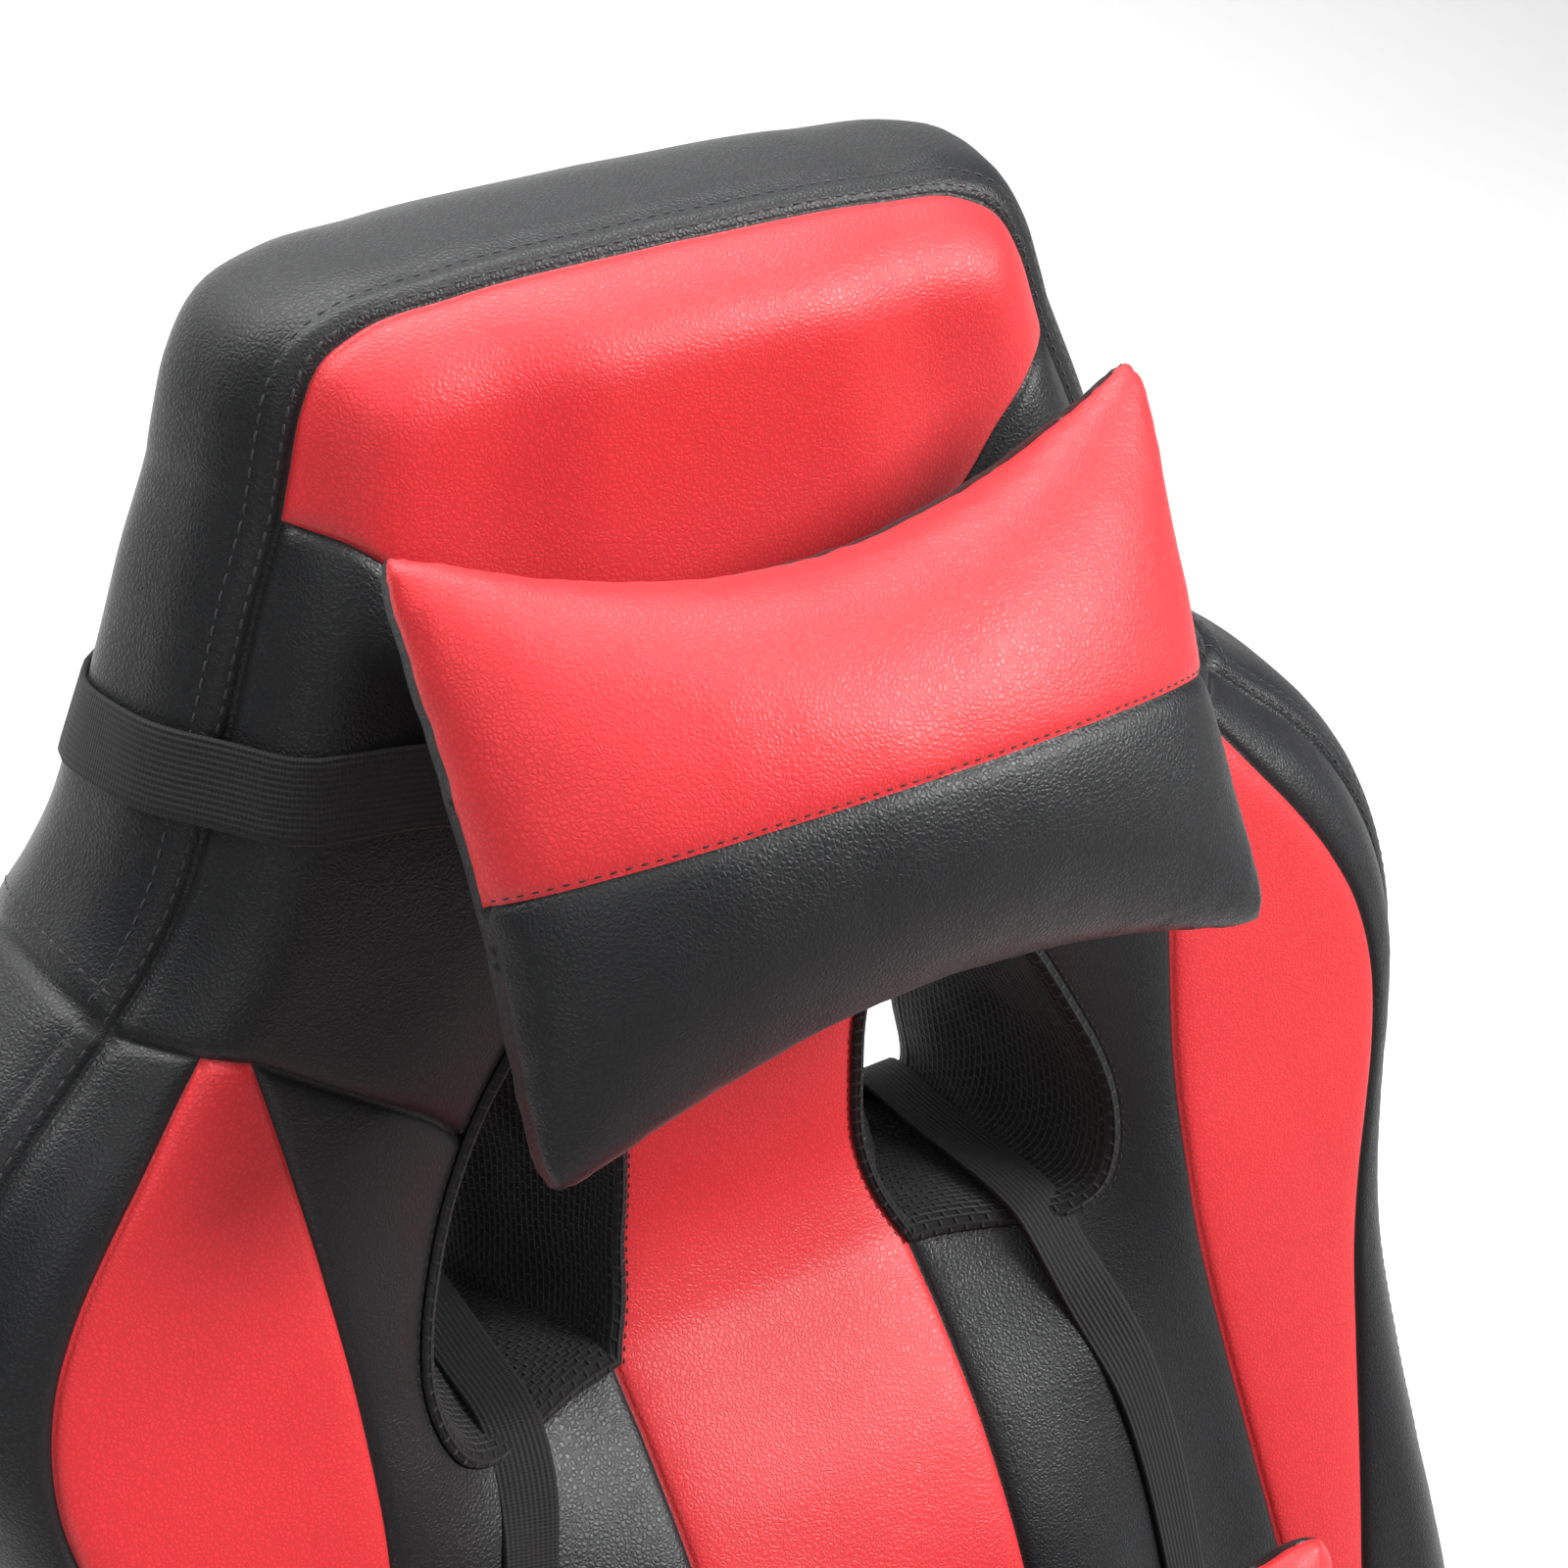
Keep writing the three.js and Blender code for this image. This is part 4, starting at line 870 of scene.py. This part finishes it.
# %% Head strap
NECK_DEPTH = 118  # mm behind the hinge, in the middle of the neck
RAY_START = 420  # mm out from the middle of the neck
STRAP_LIFT = 1.9
PULLS = 300
strap_height = through([0, 20, 35, 50, 65, 90, 110, 135, 155, 180],
                       [594, 598, 606, 620, 634, 643, 641, 636, 630, 626])
turns = np.radians(np.linspace(0, 360, 181)[:-1])
heights_round = strap_height(np.degrees(np.minimum(turns, 2 * math.pi - turns)))
outwards = np.stack([np.sin(turns), -np.cos(turns), 0 * turns], 1)
reach, facing = [], []
for out, up in zip(outwards, heights_round):
    core = Vector((0, NECK_DEPTH, up)) + Vector(shift)
    _, normal, _, run = back_tree.ray_cast((core + Vector(out) * RAY_START) / 1000, -Vector(out), 1.0)
    reach.append(RAY_START - run * 1000)
    facing.append(np.array(normal))
reach = np.array(reach)
turn_cosine = math.cos(turns[1])
for _ in range(PULLS):  # a taut band bridges every hollow with a straight run
    reach = 1 / np.minimum(1 / reach, (np.roll(1 / reach, 1) + np.roll(1 / reach, -1)) / (2 * turn_cosine))
middle = np.array([0, NECK_DEPTH, 0]) + shift + outwards * (reach + STRAP_LIFT)[:, None]
middle[:, 2] = shift[2] + heights_round
facing = eased(facing, 12, True)
middle, facing = np.vstack([middle, middle[:2]]), np.vstack([facing, facing[:2]])
head_strap = settled(ribbon("elastic_head_strap", middle, facing, 25, 2.0, elastic), "head_pillow")
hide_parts("head_strap")
print(head_strap.name, "is", round(np.linalg.norm(np.diff(middle, axis=0), axis=1).sum()), "mm round")

# %% [markdown]
# Each lumbar strap is one elastic band: up the front, over the lip of an opening, through it, down the rear and back
# under the foot. Where it lies on a face, a ray puts it there; elsewhere its points and the way it faces are given.

# %% Lumbar straps
FACE_LIFT = 1.4  # mm from the leather to the middle of the strap
front_run = [(126, 300), (124, 326), (119, 356), (110, 384)]
lip_run = [(105, 399, 3.2), (103.5, 406, 3.8), (102.5, 412.5, 2.2)]
inside_run = [(101, 52, 416), (100, 74, 416.5), (98, 102, 417.5), (97, 135, 418)]
rear_run = [(97, 402), (100, 360), (106, 270), (112, 190), (116, 110), (118, 44)]
under_run = [(118, 60, 21), (118, 44, 16), (118, -60, 15), (118, -82, 22)]
inside_facing = [(0, -0.5, 0.85), (0, 0, 1), (0, 0.1, 1), (0, 0.6, 0.8)]
under_facing = [(0, 0.7, -0.7), (0, 0.2, -1), (0, -0.2, -1), (0, -0.7, -0.7)]
lower_run = [(119, 62), (121, 104), (124, 150), (126, 200), (127, 250)]


def on_face(x, up, from_front, lift):
    """The point that lies some mm proud of the cover's front or rear face, and the face's direction there."""
    start = Vector((x, -400 if from_front else 600, up)) + Vector(shift)
    hit, normal, _, _ = back_tree.ray_cast(start / 1000, Vector((0, 1 if from_front else -1, 0)), 1.5)
    return np.array(hit) * 1000 + lift * np.array(normal), np.array(normal)


for side, hand in ((-1, "right"), (1, "left")):
    stations = [on_face(side * x, up, True, FACE_LIFT) for x, up in lower_run + front_run]
    over = front([(side * x, up) for x, up, _ in lip_run]) - [[0, lift, 0] for _, _, lift in lip_run] + shift
    stations += [(place, np.array([0, -0.75, 0.65])) for place in over]
    stations += [(np.array([side * x, y, z]) + shift, np.array(n)) for (x, y, z), n in zip(inside_run, inside_facing)]
    stations += [on_face(side * x, up, False, FACE_LIFT) for x, up in rear_run]
    stations += [(np.array([side * x, y, z]) + shift, np.array(n)) for (x, y, z), n in zip(under_run, under_facing)]
    stations.append(on_face(side * lower_run[0][0], lower_run[0][1] + 2, True, 3.4))
    places, looks = np.array([s[0] for s in stations]), np.array([s[1] for s in stations])
    both = eased(drawn(np.hstack([places, looks * 30]), 5.0), 3)
    strap = ribbon("elastic_lumbar_strap_" + hand, both[:, :3], both[:, 3:], 20, 1.6, elastic)
    settled(strap, "back")
    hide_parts("lumbar_strap_" + hand)
    print(strap.name, "is", round(run_along(both[:, :3])[-1]), "mm long")

# %% [markdown]
# A pillow is two leather panels, sewn together at the rim and filled with fibre. It is drawn as a domed bow-tie
# and then simulated as cloth with its rim held. At this pressure and stiffness the cloth moves by less than 1 mm, so
# nearly all of the shape is the drawn one; more pressure or softer cloth would swell it further.
# The rim is cut into the mesh afterwards, and the two colours of the front meet at a sewn line across it.

# %% Shape of a pillow
FILL = 0.93  # how far the fibre fills the shape before it is blown up
HALF_RIM = 1.6  # mm from the rim's middle to each of its two panels


def pillow_shape(width, corner, waist, front_bulge, rear_bulge, top_dip):
    """A closed bow-tie shape in mm around its middle: a grid for the front and one for the rear, sharing a rim."""
    points, faces = [], []
    columns, rows = 56, 40
    for bulge, sign in ((front_bulge, -1), (rear_bulge, 1)):
        start = len(points)
        for j in range(rows + 1):
            for i in range(columns + 1):
                a, b = 2 * i / columns - 1, 2 * j / rows - 1
                dip = waist / 2 - (top_dip if b > 0 else 0)
                half = dip + (corner / 2 - dip) * abs(a) ** 1.9
                rounding = 1 - 0.055 * (a * b) ** 10
                x = a * width / 2 * (1 - 0.05 * (1 - b * b)) * rounding
                z = b * half * rounding
                dome = ((1 - a ** 2) ** 0.56) * ((1 - b * b) ** 0.52)
                points.append((x, sign * (HALF_RIM + FILL * bulge * dome), z))
        for j in range(rows):
            for i in range(columns):
                a = start + j * (columns + 1) + i
                quad = (a, a + 1, a + columns + 2, a + columns + 1)
                faces.append(quad if sign < 0 else quad[::-1])
    size = (columns + 1) * (rows + 1)
    rim = [i for i in range(columns)] + [j * (columns + 1) + columns for j in range(rows)]
    rim += [rows * (columns + 1) + i for i in range(columns, 0, -1)] + [j * (columns + 1) for j in range(rows, 0, -1)]
    for a, b in zip(rim, rim[1:] + rim[:1]):
        faces.append((b, a, a + size, b + size))
    return points, faces


print("pillow shape ready")

# %% [markdown]
# The cloth solver needs small even faces, so the shape is remeshed first. Gravity is off, because the fibre holds the
# leather up, and no point may move far, which keeps the pillow the size it was drawn.

# %% Blow a pillow up as cloth
LAST_FRAME = 20
PRESSURE = 4.0
CAP = 6.0  # mm that a point may move
VOXEL = 4.5  # mm


def simulate(piece, held):
    """Blows a piece up as cloth, lets no point move further than the cap, and keeps the result as its mesh."""
    start = np.array([v.co for v in piece.data.vertices])
    group = piece.vertex_groups.new(name="held")
    group.add([v.index for v in piece.data.vertices if held(v.co * 1000)], 1.0, "REPLACE")
    cloth = piece.modifiers.new("cloth", "CLOTH")
    cloth.settings.vertex_group_mass = "held"
    cloth.settings.use_pressure = True
    cloth.settings.uniform_pressure_force = PRESSURE
    cloth.settings.effector_weights.gravity = 0
    cloth.settings.quality = 6
    cloth.settings.bending_stiffness = 1.2
    cloth.settings.tension_stiffness = 18
    cloth.settings.compression_stiffness = 18
    cloth.settings.mass = 0.4
    cloth.point_cache.frame_start, cloth.point_cache.frame_end = 1, LAST_FRAME
    for frame_number in range(1, LAST_FRAME + 1):
        scene.frame_set(frame_number)
    solved = piece.evaluated_get(bpy.context.evaluated_depsgraph_get())
    ended = np.array([v.co for v in solved.data.vertices])
    piece.modifiers.remove(cloth)
    piece.vertex_groups.clear()
    moved = ended - start
    length = np.linalg.norm(moved, axis=1)[:, None]
    moved *= np.minimum(1, CAP / 1000 / np.maximum(length, SMALL))
    piece.data.vertices.foreach_set("co", (start + moved).ravel())
    scene.frame_set(1)
    return float(length.max() * 1000)


def remesh_evenly(piece):
    """Gives a piece the same shape as an even mesh of small quads."""
    remesh = piece.modifiers.new("even", "REMESH")
    remesh.mode, remesh.voxel_size = "VOXEL", VOXEL / 1000
    made = bpy.data.meshes.new_from_object(piece.evaluated_get(bpy.context.evaluated_depsgraph_get()))
    piece.modifiers.remove(remesh)
    piece.data = made


print("cloth tools ready")

# %% [markdown]
# After the simulation the pillow is cut along its rim and along the line where the two colours meet. The leather sinks
# into both seams and puckers a little beside the rim, and each face then takes its colour from where it lies.

# %% Make the two pillows
NEAR_RIM, NEAR_RIM_AT_ENDS = 2.2, 2.5  # mm beside the rim that are held while the pillow swells
END_SHARE = 0.9212  # of half the width, where the ends start
FAR = 99  # mm, for the rear, which has no seam across it


def sew_pillow(piece, seam_up):
    """Cuts a pillow at its seams, pulls the leather into them and colours the panels."""
    work = bmesh.new()
    work.from_mesh(piece.data)
    bmesh.ops.subdivide_edges(work, edges=work.edges, cuts=1, use_grid_fill=True, smooth=1.0)
    for level, normal in (((0, 0, 0), (0, 1, 0)), ((0, 0, seam_up / 1000), (0, 0, 1))):
        bmesh.ops.bisect_plane(work, geom=work.verts[:] + work.edges[:] + work.faces[:], dist=0.0002,
                               plane_co=level, plane_no=normal)
    work.normal_update()
    for vertex in work.verts:
        x, y, z = vertex.co * 1000
        rim = abs(y)
        seam = abs(z - seam_up) if y < 0 else FAR
        slow = noise.noise(vertex.co * 24) + 0.6 * noise.noise(vertex.co * 55)
        pucker = 0.5 * math.exp(-rim / 9) * noise.noise(Vector((x * 0.16, 0, z * 0.16)))
        sink = 1.7 * math.exp(-rim / 1.5) + 1.3 * math.exp(-seam / 1.6) + 1.6 * math.exp(-seam / 14) - pucker
        vertex.co -= vertex.normal * (sink - 0.55 * slow) / 1000
    for face in work.faces:
        middle = face.calc_center_median() * 1000
        face.material_index = RED if middle[1] < 0 and middle[2] > seam_up else BLACK
        face.smooth = True
    work.to_mesh(piece.data)
    work.free()


def pillow(name, size, tilt, place, seam_up, body, replaced):
    """A whole pillow: shaped, simulated, sewn and laid in place, with a row of stitches above its seam."""
    width = size[0]
    points, faces = pillow_shape(*size)
    piece = mesh_object(name, np.array(points) / 1000, faces)
    bpy.context.view_layer.update()
    remesh_evenly(piece)

    def held(point):
        at_end = abs(point[0]) > END_SHARE * width / 2
        return abs(point[1]) < (NEAR_RIM_AT_ENDS if at_end else NEAR_RIM)

    print(name, "swelled by up to", round(simulate(piece, held), 1), "mm before the cap")
    sew_pillow(piece, seam_up)
    lay = Matrix.Translation((Vector(place) + Vector(shift)) / 1000) @ Matrix.Rotation(math.radians(tilt), 4, "X")
    piece.data.transform(lay)
    piece.data.materials.append(red_leather)
    piece.data.materials.append(black_leather)
    settled(piece, body)
    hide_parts(replaced)
    in_front = [lay @ Vector((x / 1000, -0.06, seam_up / 1000)) for x in np.linspace(-width / 2 + 4, width / 2 - 4, 90)]
    surface = tree_of(piece)
    inwards = lay.to_3x3() @ Vector((0, 1, 0))
    hits = [surface.ray_cast(point, inwards, 0.2)[0] for point in in_front]
    row = np.array([hit for hit in hits if hit is not None]) * 1000 + [0, 0, 1.8]
    seam_thread = stitches(name + "_thread", [row], surface, black_thread, 4.2, 2.4, 0.6)
    settled(seam_thread, body)
    return piece


# Each size is the width, the height at the corners and at the waist, the bulge in front and behind, and the top's dip.
head_pillow = pillow("leather_head_pillow", (258, 186, 138, 42, 46, 12), tilt=-26, place=(0, 8, 638), seam_up=-8,
                     body="head_pillow", replaced="head_pillow")
lumbar_pillow = pillow("leather_lumbar_pillow", (310, 196, 178, 46, 32, 4), tilt=-17, place=(0, -88, 232), seam_up=-12,
                       body="back", replaced="lumbar_pillow")
print(head_pillow.name, lumbar_pillow.name)

# %% [markdown]
# The seat is a bucket: a flat middle between two raised bolsters, with a front edge that rolls down under the knees.
# It is cut like the backrest, in flat patterns seen from above, and sewn to a side band that is closed underneath.

# %% Shape of the seat
SEAT_AT = -62  # mm from the frame's origin to the column, which the seat is drawn around
BOLSTER_FOOT, BOLSTER_RISE = 128, 86  # mm in from the side where a bolster starts, and mm over which it rises
SEAT_ROLL = 34  # mm in from the seam where the top starts to roll over
seat_run = [-290, -284, -258, -190, -60, 70, 130, 152, 172, 180]
seat_middle = through(seat_run, [476, 482, 496, 500, 495, 493, 494, 495, 493, 488])
seat_bolster = through(seat_run, [479, 493, 517, 533, 543, 545, 539, 529, 516, 504])
seat_half = through(seat_run, [214, 232, 252, 260, 262, 262, 256, 230, 224, 214])
seat_rim = through(seat_run, [462, 468, 490, 512, 522, 524, 519, 510, 498, 484])
seat_foot = through(seat_run, [438, 430, 423, 422, 422, 422, 422, 422, 424, 430])
seat_front = drawn([(0, -290), (120, -290), (196, -288), (224, -281), (241, -268), (250, -250)])
seat_side = drawn([(250, -250), (257, -210), (260, -150), (261, -60), (261, 40), (260, 90), (255, 122), (245, 140),
                   (233, 152), (226, 166), (218, 176), (204, 180)])
seat_rear = drawn([(204, 180), (150, 180), (0, 180)])
strip_line = drawn([(88, -290), (78, -200), (70, -80), (65, 60), (62, 180)])
bolster_line = drawn([(140, -290), (150, -240), (157, -150), (160, -40), (159, 50), (155, 120), (150, 180)])
inlay_line = drawn([(207, 132), (197, 100), (189, 50), (184, -20), (184, -100), (189, -170), (200, -230), (206, -246),
                    (220, -226), (233, -180), (241, -110), (244, -30), (240, 40), (228, 95), (217, 121),
                    (207, 132)], 4)[:-1]


def cut_at(line, x):
    """Splits a line at the point that is nearest to an x, which becomes a shared corner."""
    i = int(np.argmin(np.abs(line[:, 0] - x)))
    line[i, 0] = x
    return line[:i + 1], line[i:]


front_strip, rest_front = cut_at(seat_front, 88)
front_flank, front_bolster = cut_at(rest_front, 140)
rear_bolster, rest_rear = cut_at(seat_rear, 150)
rear_flank, rear_strip = cut_at(rest_rear, 62)
seat_half_line = [front_strip, front_flank, front_bolster, seat_side, rear_bolster, rear_flank, rear_strip]
seat_outline = loop_of(*seat_half_line, *[mirrored(line) for line in reversed(seat_half_line)])
middle_panel = loop_of(mirrored(front_strip), front_strip, strip_line, rear_strip, mirrored(rear_strip),
                       mirrored(strip_line))
flank_panel = loop_of(front_flank, bolster_line, rear_flank, strip_line[::-1])
bolster_panel = loop_of(front_bolster, seat_side, rear_bolster, bolster_line[::-1])


def seat_top(flat):
    """Where a point of the seat pattern (across, along) lies in space, in mm in the chair's frame."""
    flat = np.asarray(flat, float)
    aside, run = np.abs(flat[:, 0]), flat[:, 1]
    t = np.clip((aside - (seat_half(run) - BOLSTER_FOOT)) / BOLSTER_RISE, 0, 1)
    level = seat_middle(run) + (seat_bolster(run) - seat_middle(run)) * smooth_step(t)
    height = level + (seat_rim(run) - level) * np.clip(1 - distance_to(flat, seat_outline) / SEAT_ROLL, 0, 1) ** 2.2
    return np.stack([flat[:, 0], run + SEAT_AT, height], 1)


print("seat outline of", len(seat_outline), "points")

# %% [markdown]
# The seat's foam is thicker than the backrest's, so its leather rounds off over a wider strip beside each seam. The
# closed sheet underneath lies on the seat board, where nobody sees it, so its mesh is coarse.

# %% Sew the seat
SEAT_TOP_LINE = 9.5  # mm from the seam to the top-stitching on the side band
SEAM_BESIDE = 8  # mm from a seam of the top to the stitches beside it
seat_away = eased(across(seat_outline), 5, True)
seat_away /= np.linalg.norm(seat_away, axis=1)[:, None]
seat_levels = np.concatenate([[0, 0.015, 0.04], np.linspace(0.09, 0.91, 14), [0.96, 0.985, 1.0]])
seat_rings = []
for t in seat_levels:
    flat = seat_outline + (3.0 * math.sin(math.pi * t) - 5 * t ** 6) * seat_away
    rim, foot = seat_rim(seat_outline[:, 1]), seat_foot(seat_outline[:, 1])
    seat_rings.append(np.stack([flat[:, 0], flat[:, 1] + SEAT_AT, rim + (foot - rim) * t], 1))
seat_rings[0] = seat_top(seat_outline)
seat_rings = np.array(seat_rings)
around = len(seat_outline)
gone = run_down(seat_rings)
seat_sheets = []
for loop, skin, holes in ((middle_panel, RED, ()), (flank_panel, BLACK, ()), (bolster_panel, BLACK, (inlay_line,)),
                          (inlay_line, RED, ())):
    for flip in ((1,) if loop is middle_panel else (1, -1)):
        flat, faces, gaps = filled(loop * [flip, 1], 7.0, [hole * [flip, 1] for hole in holes])
        seat_sheets.append((seat_top(flat), faces, gaps, skin))
seat_sheets.append((np.concatenate(seat_rings), ring_quads(len(seat_rings), around),
                    np.minimum(gone, gone[-1] - gone).ravel(), BLACK))
flat, faces, gaps = filled(seat_rings[-1][:, :2] - [0, SEAT_AT], 18.0)
flat_foot = np.stack([flat[:, 0], flat[:, 1] + SEAT_AT, seat_foot(flat[:, 1])], 1)
seat_sheets.append((flat_foot, faces, gaps + 30, BLACK))
seat_cover = sewn("seat_cover", seat_sheets, [red_leather, black_leather], groove=2.4, round_off=3.0, soft=20.0,
                  ripple=0.9)
settled(seat_cover, "seat")
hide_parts("seat_cushion")
seat_tree = tree_of(seat_cover)
seat_rows = [level_line(seat_rings, SEAT_TOP_LINE, list(range(around)) + [0])]
for side in (-1, 1):
    for line in (strip_line, bolster_line):
        seat_rows.append(seat_top(line[1:-1] * [side, 1] + [side * SEAM_BESIDE, 0]))
settled(stitches("seat_topstitch", seat_rows, seat_tree, thread), "seat")
print(seat_cover.name, len(seat_cover.data.vertices), "points")

# %% [markdown]
# The hard parts keep their CAD shape. A real edge is never perfectly sharp, so each one gets a narrow bevel that
# catches the light, and smooth shading across the curved faces.

# %% Finishes of the CAD parts
WELD_WITHIN = 0.00001  # metres
PLAIN_BEVEL = 0.6  # mm, for a part that isn't in the list of bevels
SHARP = math.radians(34)  # an edge that turns more than this is a real edge
finishes = {
    nylon: ["star_base", "caster_hood", "column_cover", "hinge_cover", "arm_sleeve", "tension_knob", "lever_grip",
            "arm_button", "recline_lever", "lever_bush"],
    powder_coat: ["tilt_base", "tilt_plate", "arm_bracket", "seat_hinge_plate", "back_hinge_plate", "back_frame",
                  "gas_cylinder", "lift_lever", "arm_post", "tension_spring"],
    chromed: ["gas_piston", "tilt_pin", "caster_stem"],
    soft_pu: ["arm_pad", "caster_wheel"],
    birch: ["seat_board"],
}
bevels = {"star_base": 2.5, "caster_hood": 1.5, "hinge_cover": 2.0, "arm_sleeve": 1.5, "arm_post": 1.2, "arm_pad": 4.0,
          "recline_lever": 1.2, "tilt_base": 1.5, "seat_board": 1.0, "lever_grip": 2.0}
for node_name, node in nodes.items():
    material = next((m for m, stems in finishes.items() if any(node_name.startswith(s) for s in stems)), None)
    if material is None:
        continue
    node.data.materials.clear()
    node.data.materials.append(material)
    node.data.polygons.foreach_set("material_index", [0] * len(node.data.polygons))
    node.data.polygons.foreach_set("use_smooth", [True] * len(node.data.polygons))
    weld = node.modifiers.new("weld", "WELD")
    weld.merge_threshold = WELD_WITHIN
    edge = node.modifiers.new("eased_edges", "BEVEL")
    edge.width = next((w for s, w in bevels.items() if node_name.startswith(s)), PLAIN_BEVEL) / 1000
    edge.segments = 3
    edge.limit_method = "ANGLE"
    edge.angle_limit = SHARP
    edge.harden_normals = True
print("finished", sum(len(node.data.materials) > 0 for node in nodes.values()), "CAD parts")

# %% [markdown]
# The CAD's round parts have few sides, which shows on wheels and tubes. Each is turned again here from a finer
# profile around its own axis, in the same space, and stands in for its CAD part.

# %% Turned parts
def turned(name, profile, place, axis, body, node_name, materials, sides=72):
    """Spins a closed profile of (along the axis, radius, material) in mm round an axis through a place."""
    size = len(profile)
    points, faces, skins = [], [], []
    for k in range(sides):
        turn = 2 * math.pi * k / sides
        points += [(r * math.cos(turn), r * math.sin(turn), h) for h, r, *_ in profile]
        for i in range(size):
            a, b = k * size + i, k * size + (i + 1) % size
            c, d = ((k + 1) % sides) * size + (i + 1) % size, ((k + 1) % sides) * size + i
            faces.append((a, b, c, d))
            skins.append(profile[i][2] if len(profile[i]) > 2 else 0)
    made = mesh_object(name, np.array(points) / 1000, faces)
    turn_to = Vector((0, 0, 1)).rotation_difference(Vector(axis)).to_matrix().to_4x4()
    made.data.transform(Matrix.Translation(Vector(place)) @ turn_to)
    for material in materials:
        made.data.materials.append(material)
    made.data.polygons.foreach_set("material_index", skins)
    work = bmesh.new()
    work.from_mesh(made.data)
    bmesh.ops.remove_doubles(work, verts=work.verts, dist=0.00002)
    bmesh.ops.recalc_face_normals(work, faces=work.faces)
    work.to_mesh(made.data)
    work.free()
    edge = made.modifiers.new("eased_edges", "BEVEL")
    edge.width, edge.segments, edge.limit_method = 0.0006, 2, "ANGLE"
    edge.angle_limit, edge.harden_normals = math.radians(40), True
    settled(made, body)
    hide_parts(node_name)
    return made


print("turning tool ready")

# %% [markdown]
# A caster has two wheels on one pin: each a grey-black PU tyre on a nylon disc, with a dished outer face and a small
# cap in the middle. Both wheels use one profile, and its outer face is turned away from the hood between them.

# %% Caster wheels
tyre = [(6, 24, 0), (6, 27.5, 0), (8.2, 29.6, 0), (12, 30, 0), (20, 30, 0), (23.6, 29.2, 0), (25.4, 26.5, 0),
        (25.4, 24, 1)]
disc = [(23.9, 23, 1), (22.4, 20, 1), (22, 15, 1), (23.2, 11.5, 1), (24.8, 10.5, 1), (25.4, 8.5, 1), (25.5, 4.5, 1),
        (6, 4.5, 1)]
for number in range(1, 6):
    for hand in ("left", "right"):
        joint = joints["wheel_roll_%s_%d" % (hand, number)]
        node_name = "caster_wheel_%s_%d" % (hand, number)
        lowest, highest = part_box(node_name)
        offset = (Vector(lowest) + Vector(highest)) / 2 - Vector(joint["pos_m"])
        axis = Vector(joint["axis"]) * (1 if offset.dot(Vector(joint["axis"])) > 0 else -1)
        turned("turned_wheel_%s_%d" % (hand, number), tyre + disc, joint["pos_m"], axis,
               "wheel_%s_%d" % (hand, number), node_name, [soft_pu, nylon], 64)
print("caster wheels of", len(tyre + disc), "profile points")

# %% [markdown]
# The column is a powder-coated gas cylinder that stands in the base, a chromed piston that rises out of it, and three
# moulded sleeves that slide over each other to hide both. A flange at the foot of each sleeve keeps it on the next.

# %% Column
COLUMN = (0, -0.062, 0)
turned("turned_gas_cylinder", [(68, 14.4), (68, 24.2), (68.8, 25), (269.2, 25), (271.4, 23.6), (274, 22), (274, 14.4)],
       COLUMN, (0, 0, 1), "base", "gas_cylinder", [powder_coat])
turned("turned_gas_piston", [(150, 0.3), (150, 13.4), (150.6, 14), (361, 14), (362, 13), (363.8, 5), (367, 5),
                             (367, 0.3)], COLUMN, (0, 0, 1), "column", "gas_piston", [chromed])
for node_name, radius, foot, top, body in (("column_cover_lower", 38, 130.4, 214, "base"),
                                           ("column_cover_middle", 34, 160, 252, "cover_middle"),
                                           ("column_cover_upper", 30, 196, 325, "column")):
    turned("turned_" + node_name, [(foot, radius - 2), (foot, radius + 1.6), (foot + 5.6, radius + 1.6),
                                   (foot + 8, radius), (top - 0.8, radius), (top, radius - 0.7), (top, radius - 2)],
           COLUMN, (0, 0, 1), body, node_name, [nylon])
print("column ready")
